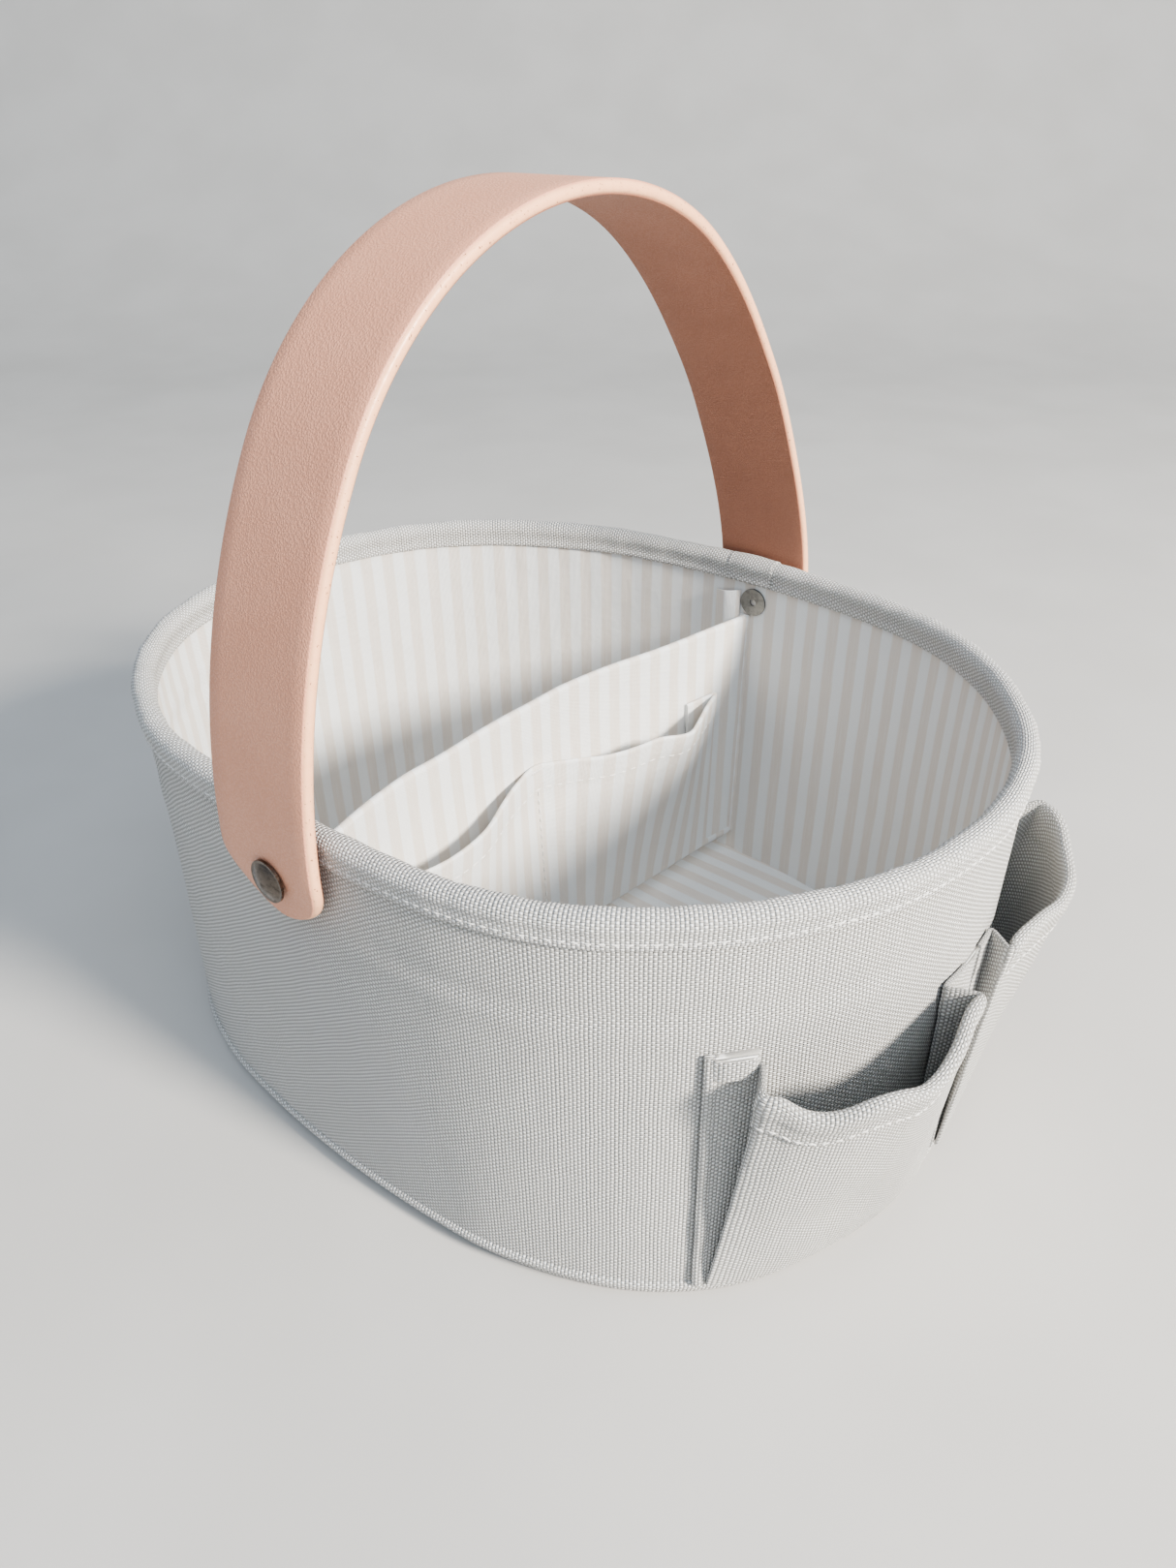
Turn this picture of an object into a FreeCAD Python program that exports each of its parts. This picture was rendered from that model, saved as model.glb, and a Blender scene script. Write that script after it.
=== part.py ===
import FreeCAD, Part
import os
from math import cos, degrees, radians, sin, sqrt, tan

# Oval fabric caddy with a rolled rim, a sewn-in divider, two bellows pockets on
# one end and a riveted strap handle. Millimetres. The origin is on the floor,
# in the middle of the base oval: +X points to the pocket end, +Z is up.

# ---- Overall size -------------------------------------------------------------
RIM_LENGTH = 305.0        # outside of the rolled rim, along X
RIM_TOP = 142.6           # top of the rolled rim
HANDLE_TOP = 283.0        # outside of the strap at the top of its arch
TAPER = 1.6               # how much wider the wall is at the rim than at the floor
END_CENTRE_X = 36.0       # centre of the round ends
END_HALF_ANGLE = 82.0     # half the turn of each round end, in degrees

# ---- Wall layers --------------------------------------------------------------
CANVAS = 1.0
STIFFENER = 2.0
LINING = 0.6
WALL = CANVAS + STIFFENER + LINING
WALL_TOP = 136.0

# ---- Rolled rim ---------------------------------------------------------------
ROLL_RADIUS = 3.5
CORE_RADIUS = 2.5
BINDING_OUTSIDE = 1.0
BINDING_INSIDE = 0.8
BINDING_OUTSIDE_FOOT = 133.2
BINDING_INSIDE_FOOT = 133.2
LAP_LENGTH = 20.0
LAP_START_X = -7.0
LAP_THICKNESS = 0.8

# ---- Bottom -------------------------------------------------------------------
BOARD = 2.5
BOARD_GAP = 0.2
PIPING_LOW = 5.0
PIPING_HIGH = 8.4
PIPING_PROUD = 1.0

# ---- Divider ------------------------------------------------------------------
DIVIDER_BOARD = 1.6
DIVIDER_FABRIC = 0.7
DIVIDER_BOTTOM = 13.0
DIVIDER_TOP = 118.6
DIVIDER_BOW = 16.0        # how far the middle bows away from the pocket end
DIVIDER_END_SEAM = 1.2
DIVIDER_BOARD_EDGE = 1.0

# ---- Pocket on the divider ----------------------------------------------------
INNER_POCKET_HALF = 97.0
INNER_POCKET_TOP = 94.0
INNER_POCKET_BOTTOM = 14.0
INNER_POCKET_FABRIC = 0.9
INNER_POCKET_PLAY = 0.1
INNER_POCKET_GAPE = {"front": 10.5, "rear": 14.0}
INNER_HEM_HEIGHT = 9.0
INNER_HEM_THICKNESS = 0.5

# ---- Outer pockets, as angles round the end and distances off the wall --------
POCKET_BOTTOM = 9.0
POCKET_TOP = 94.0
POCKET_FABRIC = 1.0
POCKET_FLAT = 3.0
POCKET_FLAT_ANGLES = (3.0, 44.0)
POCKET_SHAPE = {
    "front": {"inner": (6.0, 10.4), "middle": (22.0, 22.0), "outer": (40.0, 14.0)},
    "rear": {"inner": (4.4, 8.8), "middle": (24.0, 20.5), "outer": (41.6, 20.0)},
}
POCKET_HEM_HEIGHT = 11.0
POCKET_HEM_THICKNESS = 0.7
LAYER_GAP = 0.08
FLANGE_ANGLES = (37.5, 45.4)
FLANGE_EDGE_ANGLES = (45.4, 46.4)
FLANGE_EDGE_PROUD = 2.4
CENTRE_STRIP_HALF_ANGLE = 2.6

# ---- Rivets -------------------------------------------------------------------
RIVET_X = 5.0
RIVET_Z = 125.0
POST_RADIUS = 2.5
POST_PLAY = 0.05
COLLAR_RADIUS = 4.5
CAP_RADIUS = 6.4
CAP_HEIGHT = 2.2
CAP_RIM = 0.8
WASHER_RADIUS = 5.6
WASHER_THICKNESS = 0.8
WASHER_HOLE_RADIUS = 1.4
SIDE_PLAY = 0.3           # free play of the strap between collar and cap
SEAT_GAP = 0.2            # keeps the flat rivet pieces off the curved wall

# ---- Strap handle -------------------------------------------------------------
STRAP_WIDTH = 37.0
STRAP_SKIN = 1.2
STRAP_CORE = 1.4
STRAP = 2 * STRAP_SKIN + STRAP_CORE
STRAP_HALF_SPAN = 124.6   # outside of each leg at the rivet
STRAP_FRONT_RADIUS = 215.0
STRAP_REAR_RADIUS = 170.0
STRAP_TIP_BELOW_RIVET = 14.0

# ---- Values worked out from the ones above ------------------------------------
BIG = 400.0
ROLL_Z = RIM_TOP - ROLL_RADIUS
ROLL_R = RIM_LENGTH / 2 - END_CENTRE_X - ROLL_RADIUS
WALL_R_TOP = ROLL_R + WALL / 2
WALL_R_BOTTOM = WALL_R_TOP - TAPER
SIDE_CENTRE_Y = END_CENTRE_X * tan(radians(END_HALF_ANGLE))
SIDE_EXTRA_R = END_CENTRE_X / cos(radians(END_HALF_ANGLE))
SIDE_BULGE = SIDE_EXTRA_R - SIDE_CENTRE_Y


def vec(x, y, z=0.0):
    return FreeCAD.Vector(x, y, z)


def wall_r(z):
    """Radius of the outside of the wall round an end centre, at height z."""
    return WALL_R_BOTTOM + TAPER * z / WALL_TOP


def arc(a, b, c):
    return Part.Arc(a, b, c).toShape()


def line(a, b):
    return Part.LineSegment(a, b).toShape()


def closed_line(points):
    return [line(a, b) for a, b in zip(points, points[1:] + points[:1])]


def face_of(edges):
    return Part.Face(Part.Wire(edges))


def turned_section(section, centre, extra, start, sweep):
    """Turn a section drawn in the XZ plane, x being the radius, about a vertical axis."""
    piece = section.copy()
    piece.translate(vec(extra, 0))
    piece.rotate(vec(0, 0), vec(0, 0, 1), start)
    piece.translate(centre)
    return piece.revolve(centre, vec(0, 0, 1), sweep)


def joined(solids):
    result = solids[0].fuse(solids[1:]) if len(solids) > 1 else solids[0]
    return result.removeSplitter()


def ring(section):
    """Sweep a section all the way round the oval, as four turns about its four centres."""
    side = 180.0 - 2 * END_HALF_ANGLE
    parts = []
    for turn in (0.0, 180.0):
        end = turned_section(section, vec(END_CENTRE_X, 0), 0.0, -END_HALF_ANGLE, 2 * END_HALF_ANGLE)
        flank = turned_section(section, vec(0, -SIDE_CENTRE_Y), SIDE_EXTRA_R, END_HALF_ANGLE, side)
        for piece in (end, flank):
            piece.rotate(vec(0, 0), vec(0, 0, 1), turn)
            parts.append(piece)
    return joined(parts)


def end_arc(section, low, high):
    """Sweep a section round the pocket end, between two angles in degrees."""
    return turned_section(section, vec(END_CENTRE_X, 0), 0.0, low, high - low)


def oval(radius, z):
    """Closed outline of the oval whose round ends have this radius."""
    ends = radians(END_HALF_ANGLE)
    corner_x = END_CENTRE_X + radius * cos(ends)
    corner_y = radius * sin(ends)
    far_x = END_CENTRE_X + radius
    far_y = radius + SIDE_BULGE
    return Part.Wire([
        arc(vec(corner_x, -corner_y, z), vec(far_x, 0, z), vec(corner_x, corner_y, z)),
        arc(vec(corner_x, corner_y, z), vec(0, far_y, z), vec(-corner_x, corner_y, z)),
        arc(vec(-corner_x, corner_y, z), vec(-far_x, 0, z), vec(-corner_x, -corner_y, z)),
        arc(vec(-corner_x, -corner_y, z), vec(0, -far_y, z), vec(corner_x, -corner_y, z)),
    ])


def disc(radius, low, high):
    """Flat oval plate."""
    return Part.Face(oval(radius, low)).extrude(vec(0, 0, high - low))


def inside(depth):
    """Everything within the wall, this far in from its outside."""
    low, high = -1.0, RIM_TOP
    return Part.makeLoft([oval(wall_r(low) - depth, low), oval(wall_r(high) - depth, high)], True, True)


def wall_layer(depth, thickness, low, high):
    """One layer of the wall, this far in from its outside."""
    section = [
        vec(wall_r(low) - depth, 0, low), vec(wall_r(high) - depth, 0, high),
        vec(wall_r(high) - depth - thickness, 0, high), vec(wall_r(low) - depth - thickness, 0, low),
    ]
    return ring(face_of(closed_line(section)))


def across(radius, low, high):
    """A pair of cylinders along Y, one at each rivet, between two distances from the middle."""
    rear = Part.makeCylinder(radius, high - low, vec(RIVET_X, low, RIVET_Z), vec(0, 1, 0))
    front = Part.makeCylinder(radius, high - low, vec(RIVET_X, -low, RIVET_Z), vec(0, -1, 0))
    return [front, rear]


def without_rivet_holes(shape, radius):
    holes = across(radius, STRAP_HALF_SPAN / 2, BIG)
    return shape.cut(holes[0].fuse(holes[1]))


# ---- Wall, bottom and rim -----------------------------------------------------
def outer_wall():
    return without_rivet_holes(wall_layer(0.0, CANVAS, 0.0, WALL_TOP), POST_RADIUS)


def wall_stiffener():
    return without_rivet_holes(wall_layer(CANVAS, STIFFENER, CANVAS + BOARD, WALL_TOP), POST_RADIUS)


def lining_wall():
    return without_rivet_holes(wall_layer(CANVAS + STIFFENER, LINING, CANVAS + BOARD, WALL_TOP), POST_RADIUS)


def base_canvas():
    return disc(WALL_R_BOTTOM - CANVAS, 0.0, CANVAS)


def base_board():
    return disc(WALL_R_BOTTOM - CANVAS - BOARD_GAP, CANVAS, CANVAS + BOARD)


def lining_floor():
    return disc(WALL_R_BOTTOM - WALL, CANVAS + BOARD, CANVAS + BOARD + LINING)


def base_piping():
    middle = (PIPING_LOW + PIPING_HIGH) / 2
    low = vec(wall_r(PIPING_LOW), 0, PIPING_LOW)
    high = vec(wall_r(PIPING_HIGH), 0, PIPING_HIGH)
    proud = vec(wall_r(middle) + PIPING_PROUD, 0, middle)
    return ring(face_of([arc(low, proud, high), line(high, low)]))


def rim_core():
    circle = Part.Circle(vec(ROLL_R, 0, ROLL_Z), vec(0, 1, 0), CORE_RADIUS)
    return ring(face_of([circle.toShape()]))


def roll_point(across_x, radius=ROLL_RADIUS):
    """Point on the lower half of the roll, this far from its middle along X."""
    return vec(ROLL_R + across_x, 0, ROLL_Z - sqrt(radius ** 2 - across_x ** 2))


def rim_binding():
    foot_out, foot_in = BINDING_OUTSIDE_FOOT, BINDING_INSIDE_FOOT
    outer_low = wall_r(foot_out)
    inner_low = wall_r(foot_in) - WALL
    roll_out = roll_point(WALL / 2 + BINDING_OUTSIDE)
    roll_in = roll_point(-WALL / 2 - BINDING_INSIDE)
    core_out = roll_point(WALL / 2, CORE_RADIUS)
    core_in = roll_point(-WALL / 2, CORE_RADIUS)
    edges = [
        line(vec(outer_low, 0, foot_out), vec(outer_low + BINDING_OUTSIDE, 0, foot_out)),
        line(vec(outer_low + BINDING_OUTSIDE, 0, foot_out), roll_out),
        arc(roll_out, vec(ROLL_R, 0, ROLL_Z + ROLL_RADIUS), roll_in),
        line(roll_in, vec(inner_low - BINDING_INSIDE, 0, foot_in)),
        line(vec(inner_low - BINDING_INSIDE, 0, foot_in), vec(inner_low, 0, foot_in)),
        line(vec(inner_low, 0, foot_in), vec(WALL_R_TOP - WALL, 0, WALL_TOP)),
        line(vec(WALL_R_TOP - WALL, 0, WALL_TOP), core_in),
        arc(core_in, vec(ROLL_R, 0, ROLL_Z + CORE_RADIUS), core_out),
        line(core_out, vec(WALL_R_TOP, 0, WALL_TOP)),
        line(vec(WALL_R_TOP, 0, WALL_TOP), vec(outer_low, 0, foot_out)),
    ]
    return ring(face_of(edges))


def binding_lap():
    """The folded end of the binding, lying over its start above the rear rivet."""
    centre = vec(ROLL_R, 0, ROLL_Z)
    rays = {name: vec(cos(radians(a)), 0, sin(radians(a))) for name, a in
            (("start", 80.0), ("middle", 130.0), ("end", 180.0))}
    low, high = ROLL_RADIUS, ROLL_RADIUS + LAP_THICKNESS
    edges = [
        arc(*[centre + rays[name] * high for name in ("start", "middle", "end")]),
        line(centre + rays["end"] * high, centre + rays["end"] * low),
        arc(*[centre + rays[name] * low for name in ("end", "middle", "start")]),
        line(centre + rays["start"] * low, centre + rays["start"] * high),
    ]
    reach = SIDE_EXTRA_R + ROLL_R
    first = degrees(LAP_START_X / reach)
    turn = degrees(LAP_LENGTH / reach)
    return turned_section(face_of(edges), vec(0, -SIDE_CENTRE_Y), SIDE_EXTRA_R, 90.0 - first - turn, turn)


# ---- Divider ------------------------------------------------------------------
DIVIDER_END_Y = WALL_R_BOTTOM + SIDE_BULGE - WALL
DIVIDER_R = (DIVIDER_END_Y ** 2 + DIVIDER_BOW ** 2) / (2 * DIVIDER_BOW)
DIVIDER_HALF = DIVIDER_BOARD / 2 + DIVIDER_FABRIC


def divider_slab(half, low, high):
    """Upright bowed slab, this far to each side of the middle of the divider."""
    centre = vec(DIVIDER_R - DIVIDER_BOW, 0, low)
    outer = Part.makeCylinder(DIVIDER_R + half, high - low, centre)
    slab = outer.cut(Part.makeCylinder(DIVIDER_R - half, high - low, centre))
    keep = Part.makeBox(2 * STRAP_HALF_SPAN, BIG, high - low, vec(-STRAP_HALF_SPAN, -BIG / 2, low))
    return slab.common(keep)


def divider_board():
    slab = divider_slab(DIVIDER_BOARD / 2, DIVIDER_BOTTOM, DIVIDER_TOP - DIVIDER_FABRIC)
    return slab.common(inside(WALL + DIVIDER_END_SEAM + DIVIDER_BOARD_EDGE))


def divider_cover():
    slab = divider_slab(DIVIDER_HALF, DIVIDER_BOTTOM, DIVIDER_TOP)
    return slab.cut(divider_board()).common(inside(WALL + DIVIDER_END_SEAM))


def divider_end_seam(side):
    slab = divider_slab(DIVIDER_HALF, DIVIDER_BOTTOM, DIVIDER_TOP)
    half_space = Part.makeBox(BIG, BIG, BIG, vec(-BIG / 2, 0 if side > 0 else -BIG, -BIG / 2))
    return slab.common(inside(WALL)).cut(inside(WALL + DIVIDER_END_SEAM)).common(half_space)


def divider_face_x(y, off):
    """X of a point this far off the middle of the divider, on its pocket side."""
    return DIVIDER_R - DIVIDER_BOW - sqrt((DIVIDER_R - off) ** 2 - y ** 2)


def inner_pocket_wire(z, near, thickness):
    """Outline of the pocket panel at one height: two bows that meet at the middle seam."""
    part = (z - INNER_POCKET_BOTTOM) / (INNER_POCKET_TOP - INNER_POCKET_BOTTOM)
    ends = INNER_POCKET_HALF
    bows = [(-ends, -ends / 2, 0.0, "front"), (0.0, ends / 2, ends, "rear")]

    def bow(far, first, middle, last, side):
        gape = INNER_POCKET_GAPE[side] * part
        points = [vec(divider_face_x(first, near) + far, first, z),
                  vec(divider_face_x(middle, near) + far + gape, middle, z),
                  vec(divider_face_x(last, near) + far, last, z)]
        return points

    near_side = [bow(0.0, *row) for row in bows]
    far_side = [bow(thickness, *row) for row in bows]
    return Part.Wire([
        arc(*near_side[0]), arc(*near_side[1]), line(near_side[1][2], far_side[1][2]),
        arc(*reversed(far_side[1])), arc(*reversed(far_side[0])), line(far_side[0][0], near_side[0][0]),
    ])


def inner_pocket_sheet(near, thickness, low, high):
    wires = [inner_pocket_wire(z, near, thickness) for z in (low, high)]
    return Part.makeLoft(wires, True, True)


def divider_pocket():
    near = DIVIDER_HALF + INNER_POCKET_PLAY
    return inner_pocket_sheet(near, INNER_POCKET_FABRIC, INNER_POCKET_BOTTOM, INNER_POCKET_TOP)


def divider_pocket_hem():
    near = DIVIDER_HALF + 2 * INNER_POCKET_PLAY + INNER_POCKET_FABRIC
    return inner_pocket_sheet(near, INNER_HEM_THICKNESS, INNER_POCKET_TOP - INNER_HEM_HEIGHT, INNER_POCKET_TOP)


# ---- Outer pockets ------------------------------------------------------------
def polar(angle, radius, z):
    return vec(END_CENTRE_X + radius * cos(radians(angle)), radius * sin(radians(angle)), z)


def pocket_outline(side, z, inset):
    """Outline of one pocket at one height, drawn on the rear side, then mirrored."""
    part = (z - POCKET_BOTTOM) / (POCKET_TOP - POCKET_BOTTOM)
    shrink = degrees(inset / WALL_R_TOP)
    flat_in, flat_out = POCKET_FLAT_ANGLES
    flat = {"inner": (flat_in, POCKET_FLAT), "middle": ((flat_in + flat_out) / 2, POCKET_FLAT),
            "outer": (flat_out, POCKET_FLAT)}
    spots = {}
    for name, turn in (("inner", shrink), ("middle", 0.0), ("outer", -shrink)):
        open_angle, open_gap = POCKET_SHAPE[side][name]
        angle = flat[name][0] + (open_angle - flat[name][0]) * part + turn
        gap = flat[name][1] + (open_gap - flat[name][1]) * part - inset
        spots[name] = (angle, wall_r(z) + gap)
    buried = wall_r(z) - CANVAS
    back = [polar(spots["outer"][0], buried, z), polar(spots["inner"][0], buried, z)]
    front = [polar(spots[name][0], spots[name][1], z) for name in ("inner", "middle", "outer")]
    edges = [line(back[0], back[1]), line(back[1], front[0]), arc(*front), line(front[2], back[0])]
    wire = Part.Wire(edges)
    return wire.mirror(vec(0, 0), vec(0, 1, 0)) if side == "front" else wire


def pocket_block(side, low, high, inset):
    block = Part.makeLoft([pocket_outline(side, low, inset), pocket_outline(side, high, inset)], True, True)
    return block.cut(inside(0.0))


def outer_pocket(side):
    block = pocket_block(side, POCKET_BOTTOM, POCKET_TOP, 0.0)
    cavity = pocket_block(side, POCKET_BOTTOM + POCKET_FABRIC, POCKET_TOP + POCKET_FABRIC, POCKET_FABRIC)
    return block.cut(cavity)


def pocket_hem(side):
    low = POCKET_TOP - POCKET_HEM_HEIGHT
    hem = pocket_block(side, low, POCKET_TOP, -POCKET_HEM_THICKNESS)
    return hem.cut(pocket_block(side, low - 1.0, POCKET_TOP + 1.0, -LAYER_GAP))


def strip_on_wall(low_angle, high_angle, thickness):
    low, high = POCKET_BOTTOM, POCKET_TOP
    section = [vec(wall_r(low), 0, low), vec(wall_r(low) + thickness, 0, low),
               vec(wall_r(high) + thickness, 0, high), vec(wall_r(high), 0, high)]
    return end_arc(face_of(closed_line(section)), low_angle, high_angle)


def pocket_centre_strip():
    return strip_on_wall(-CENTRE_STRIP_HALF_ANGLE, CENTRE_STRIP_HALF_ANGLE, POCKET_FABRIC)


def mirrored_if_front(shape, side):
    return shape.mirror(vec(0, 0), vec(0, 1, 0)) if side == "front" else shape


def pocket_flange(side):
    """The strip that joins a pocket's outer fold to the wall, with its folded outer edge."""
    strip = mirrored_if_front(strip_on_wall(*FLANGE_ANGLES, POCKET_FABRIC), side)
    return strip.cut(pocket_block(side, POCKET_BOTTOM - 1.0, POCKET_TOP + 1.0, -POCKET_HEM_THICKNESS))


def pocket_seam(side):
    return mirrored_if_front(strip_on_wall(*FLANGE_EDGE_ANGLES, FLANGE_EDGE_PROUD), side)


# ---- Rivets -------------------------------------------------------------------
def wall_y(z):
    return wall_r(z) + SIDE_BULGE


INNER_FACE_Y = wall_y(RIVET_Z) - WALL
STRAP_INNER_Y = STRAP_HALF_SPAN - STRAP
CAP_SEAT_Y = STRAP_HALF_SPAN + SIDE_PLAY


def rivet_posts():
    shanks = across(POST_RADIUS, INNER_FACE_Y, CAP_SEAT_Y)
    collar_seat = wall_y(RIVET_Z) + SEAT_GAP
    collars = across(COLLAR_RADIUS, collar_seat, STRAP_INNER_Y - SIDE_PLAY)
    return Part.makeCompound([shank.fuse(collar).removeSplitter() for shank, collar in zip(shanks, collars)])


def rivet_caps():
    """Low domed heads with a small step round the edge."""
    dome_r = CAP_RADIUS - CAP_RIM
    dome_h = CAP_HEIGHT - CAP_RIM
    ball_r = (dome_r ** 2 + dome_h ** 2) / (2 * dome_h)
    ball = Part.makeSphere(ball_r, vec(0, 0, CAP_HEIGHT - ball_r))
    dome = ball.common(Part.makeCylinder(dome_r, CAP_HEIGHT, vec(0, 0, CAP_RIM)))
    head = Part.makeCylinder(CAP_RADIUS, CAP_RIM).fuse(dome)
    heads = []
    for side, tilt in ((1, -90.0), (-1, 90.0)):
        cap = head.copy()
        cap.rotate(vec(0, 0), vec(1, 0, 0), tilt)
        cap.translate(vec(RIVET_X, side * CAP_SEAT_Y, RIVET_Z))
        heads.append(cap)
    return Part.makeCompound(heads)


def inner_washers():
    low = INNER_FACE_Y - SEAT_GAP - WASHER_THICKNESS
    discs = across(WASHER_RADIUS, low, INNER_FACE_Y - SEAT_GAP)
    holes = across(WASHER_HOLE_RADIUS, low - 1.0, INNER_FACE_Y + 1.0)
    return Part.makeCompound([washer.cut(hole) for washer, hole in zip(discs, holes)])


# ---- Strap handle -------------------------------------------------------------
def strap_crown():
    """Centre (Y, Z) of the arc over the top, which runs smoothly into both leg arcs."""
    rise = HANDLE_TOP - RIVET_Z
    front_gap, rear_gap = STRAP_FRONT_RADIUS - rise, STRAP_REAR_RADIUS - rise
    front_y = STRAP_FRONT_RADIUS - STRAP_HALF_SPAN
    rear_y = STRAP_HALF_SPAN - STRAP_REAR_RADIUS
    a = rear_gap - front_gap
    b = 2 * (front_gap * rear_y - rear_gap * front_y)
    c = rear_gap * front_y ** 2 - front_gap * rear_y ** 2 + front_gap * rear_gap * a
    crown_y = (-b - sqrt(b * b - 4 * a * c)) / (2 * a)
    crown_z = RIVET_Z + ((crown_y - front_y) ** 2 - front_gap ** 2) / (2 * front_gap)
    return crown_y, crown_z


CROWN_Y, CROWN_Z = strap_crown()


def leg_arc(side, radius, depth):
    """Start, middle and end of one leg's arc, from the rivet up to the arc over the top."""
    centre_y = side * (STRAP_HALF_SPAN - radius)
    start = vec(0, side, 0)
    end = vec(0, CROWN_Y - centre_y, CROWN_Z - RIVET_Z).normalize()
    middle = (start + end).normalize()
    centre = vec(0, centre_y, RIVET_Z)
    return [centre + ray * (radius - depth) for ray in (start, middle, end)]


def strap_arch(depth):
    """Edges of one face of the strap, from the front tip over the top to the rear tip."""
    front = leg_arc(-1, STRAP_FRONT_RADIUS, depth)
    rear = leg_arc(1, STRAP_REAR_RADIUS, depth)
    half_span = STRAP_HALF_SPAN - depth
    foot_z = RIVET_Z - STRAP_TIP_BELOW_RIVET
    return [
        line(vec(0, -half_span, foot_z), front[0]),
        arc(*front),
        arc(front[2], vec(0, CROWN_Y, HANDLE_TOP - depth), rear[2]),
        arc(*rear[::-1]),
        line(rear[0], vec(0, half_span, foot_z)),
    ]


def strap_layer(depth, thickness):
    """One layer of the strap, this far in from its outside, with round ends and rivet holes."""
    foot_z = RIVET_Z - STRAP_TIP_BELOW_RIVET
    far, near = STRAP_HALF_SPAN - depth, STRAP_HALF_SPAN - depth - thickness
    feet = [line(vec(0, side * far, foot_z), vec(0, side * near, foot_z)) for side in (-1, 1)]
    outline = Part.Wire(Part.__sortEdges__(strap_arch(depth) + strap_arch(depth + thickness) + feet))
    band = Part.Face(outline).extrude(vec(STRAP_WIDTH, 0, 0))
    band.translate(vec(RIVET_X - STRAP_WIDTH / 2, 0, 0))
    round_z = foot_z + STRAP_WIDTH / 2
    corners = Part.makeBox(BIG, BIG, BIG, vec(-BIG / 2, -BIG / 2, round_z - BIG))
    tip = Part.makeCylinder(STRAP_WIDTH / 2, BIG, vec(RIVET_X, -BIG / 2, round_z), vec(0, 1, 0))
    return without_rivet_holes(band.cut(corners.cut(tip)), POST_RADIUS + POST_PLAY)


def handle_outer_skin():
    return strap_layer(0.0, STRAP_SKIN)


def handle_core():
    return strap_layer(STRAP_SKIN, STRAP_CORE)


def handle_inner_skin():
    return strap_layer(STRAP_SKIN + STRAP_CORE, STRAP_SKIN)


NODES = {
    "outer_wall": outer_wall(),
    "wall_stiffener": wall_stiffener(),
    "lining_wall": lining_wall(),
    "base_canvas": base_canvas(),
    "base_board": base_board(),
    "lining_floor": lining_floor(),
    "base_piping": base_piping(),
    "rim_core": rim_core(),
    "rim_binding": rim_binding(),
    "binding_lap": binding_lap(),
    "divider_board": divider_board(),
    "divider_cover": divider_cover(),
    "divider_seam_front": divider_end_seam(-1),
    "divider_seam_rear": divider_end_seam(1),
    "divider_pocket": divider_pocket(),
    "divider_pocket_hem": divider_pocket_hem(),
    "pocket_front": outer_pocket("front"),
    "pocket_rear": outer_pocket("rear"),
    "pocket_hem_front": pocket_hem("front"),
    "pocket_hem_rear": pocket_hem("rear"),
    "pocket_flange_front": pocket_flange("front"),
    "pocket_flange_rear": pocket_flange("rear"),
    "pocket_seam_front": pocket_seam("front"),
    "pocket_seam_rear": pocket_seam("rear"),
    "pocket_centre_strip": pocket_centre_strip(),
    "rivet_posts": rivet_posts(),
    "rivet_caps": rivet_caps(),
    "inner_washers": inner_washers(),
    "handle_outer_skin": handle_outer_skin(),
    "handle_core": handle_core(),
    "handle_inner_skin": handle_inner_skin(),
}

os.makedirs("parts", exist_ok=True)
for name, shape in NODES.items():
    shape.exportStep("parts/" + name + ".step")
    box = shape.BoundBox
    print("%-20s valid %s solids %d volume %9.1f  x %7.2f %7.2f  y %7.2f %7.2f  z %6.2f %6.2f" % (
        name, shape.isValid(), len(shape.Solids), shape.Volume,
        box.XMin, box.XMax, box.YMin, box.YMax, box.ZMin, box.ZMax))
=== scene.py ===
from math import atan2, cos, pi, radians, sin, sqrt, tan

import bmesh
import bpy
import numpy as np
from mathutils import Matrix, Vector


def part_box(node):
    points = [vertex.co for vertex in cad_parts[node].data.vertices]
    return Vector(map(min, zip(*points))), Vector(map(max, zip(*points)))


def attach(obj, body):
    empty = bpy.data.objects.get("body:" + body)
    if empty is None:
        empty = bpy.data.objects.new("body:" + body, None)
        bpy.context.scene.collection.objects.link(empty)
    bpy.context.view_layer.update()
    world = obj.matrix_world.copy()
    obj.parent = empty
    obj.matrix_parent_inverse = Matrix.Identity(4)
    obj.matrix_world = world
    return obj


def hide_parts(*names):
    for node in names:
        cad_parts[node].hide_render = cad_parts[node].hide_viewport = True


# Looks of an oval canvas caddy: shaped cloth sheets, stitching, a leather strap
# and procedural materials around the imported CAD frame. Shapes are worked out in
# millimetres and turned into metres when a mesh is made.

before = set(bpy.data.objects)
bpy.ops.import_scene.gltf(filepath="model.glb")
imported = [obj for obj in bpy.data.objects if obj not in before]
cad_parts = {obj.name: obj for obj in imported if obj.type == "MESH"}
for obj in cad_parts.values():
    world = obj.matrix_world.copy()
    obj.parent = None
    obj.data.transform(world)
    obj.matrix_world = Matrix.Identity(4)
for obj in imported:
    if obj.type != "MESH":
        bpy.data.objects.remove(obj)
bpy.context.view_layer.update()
MM = 0.001
BASKET, HANDLE = "basket", "handle"


# ---- Sizes shared with the CAD part, in millimetres --------------------------
def top_mm(node):
    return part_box(node)[1].z / MM


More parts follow.
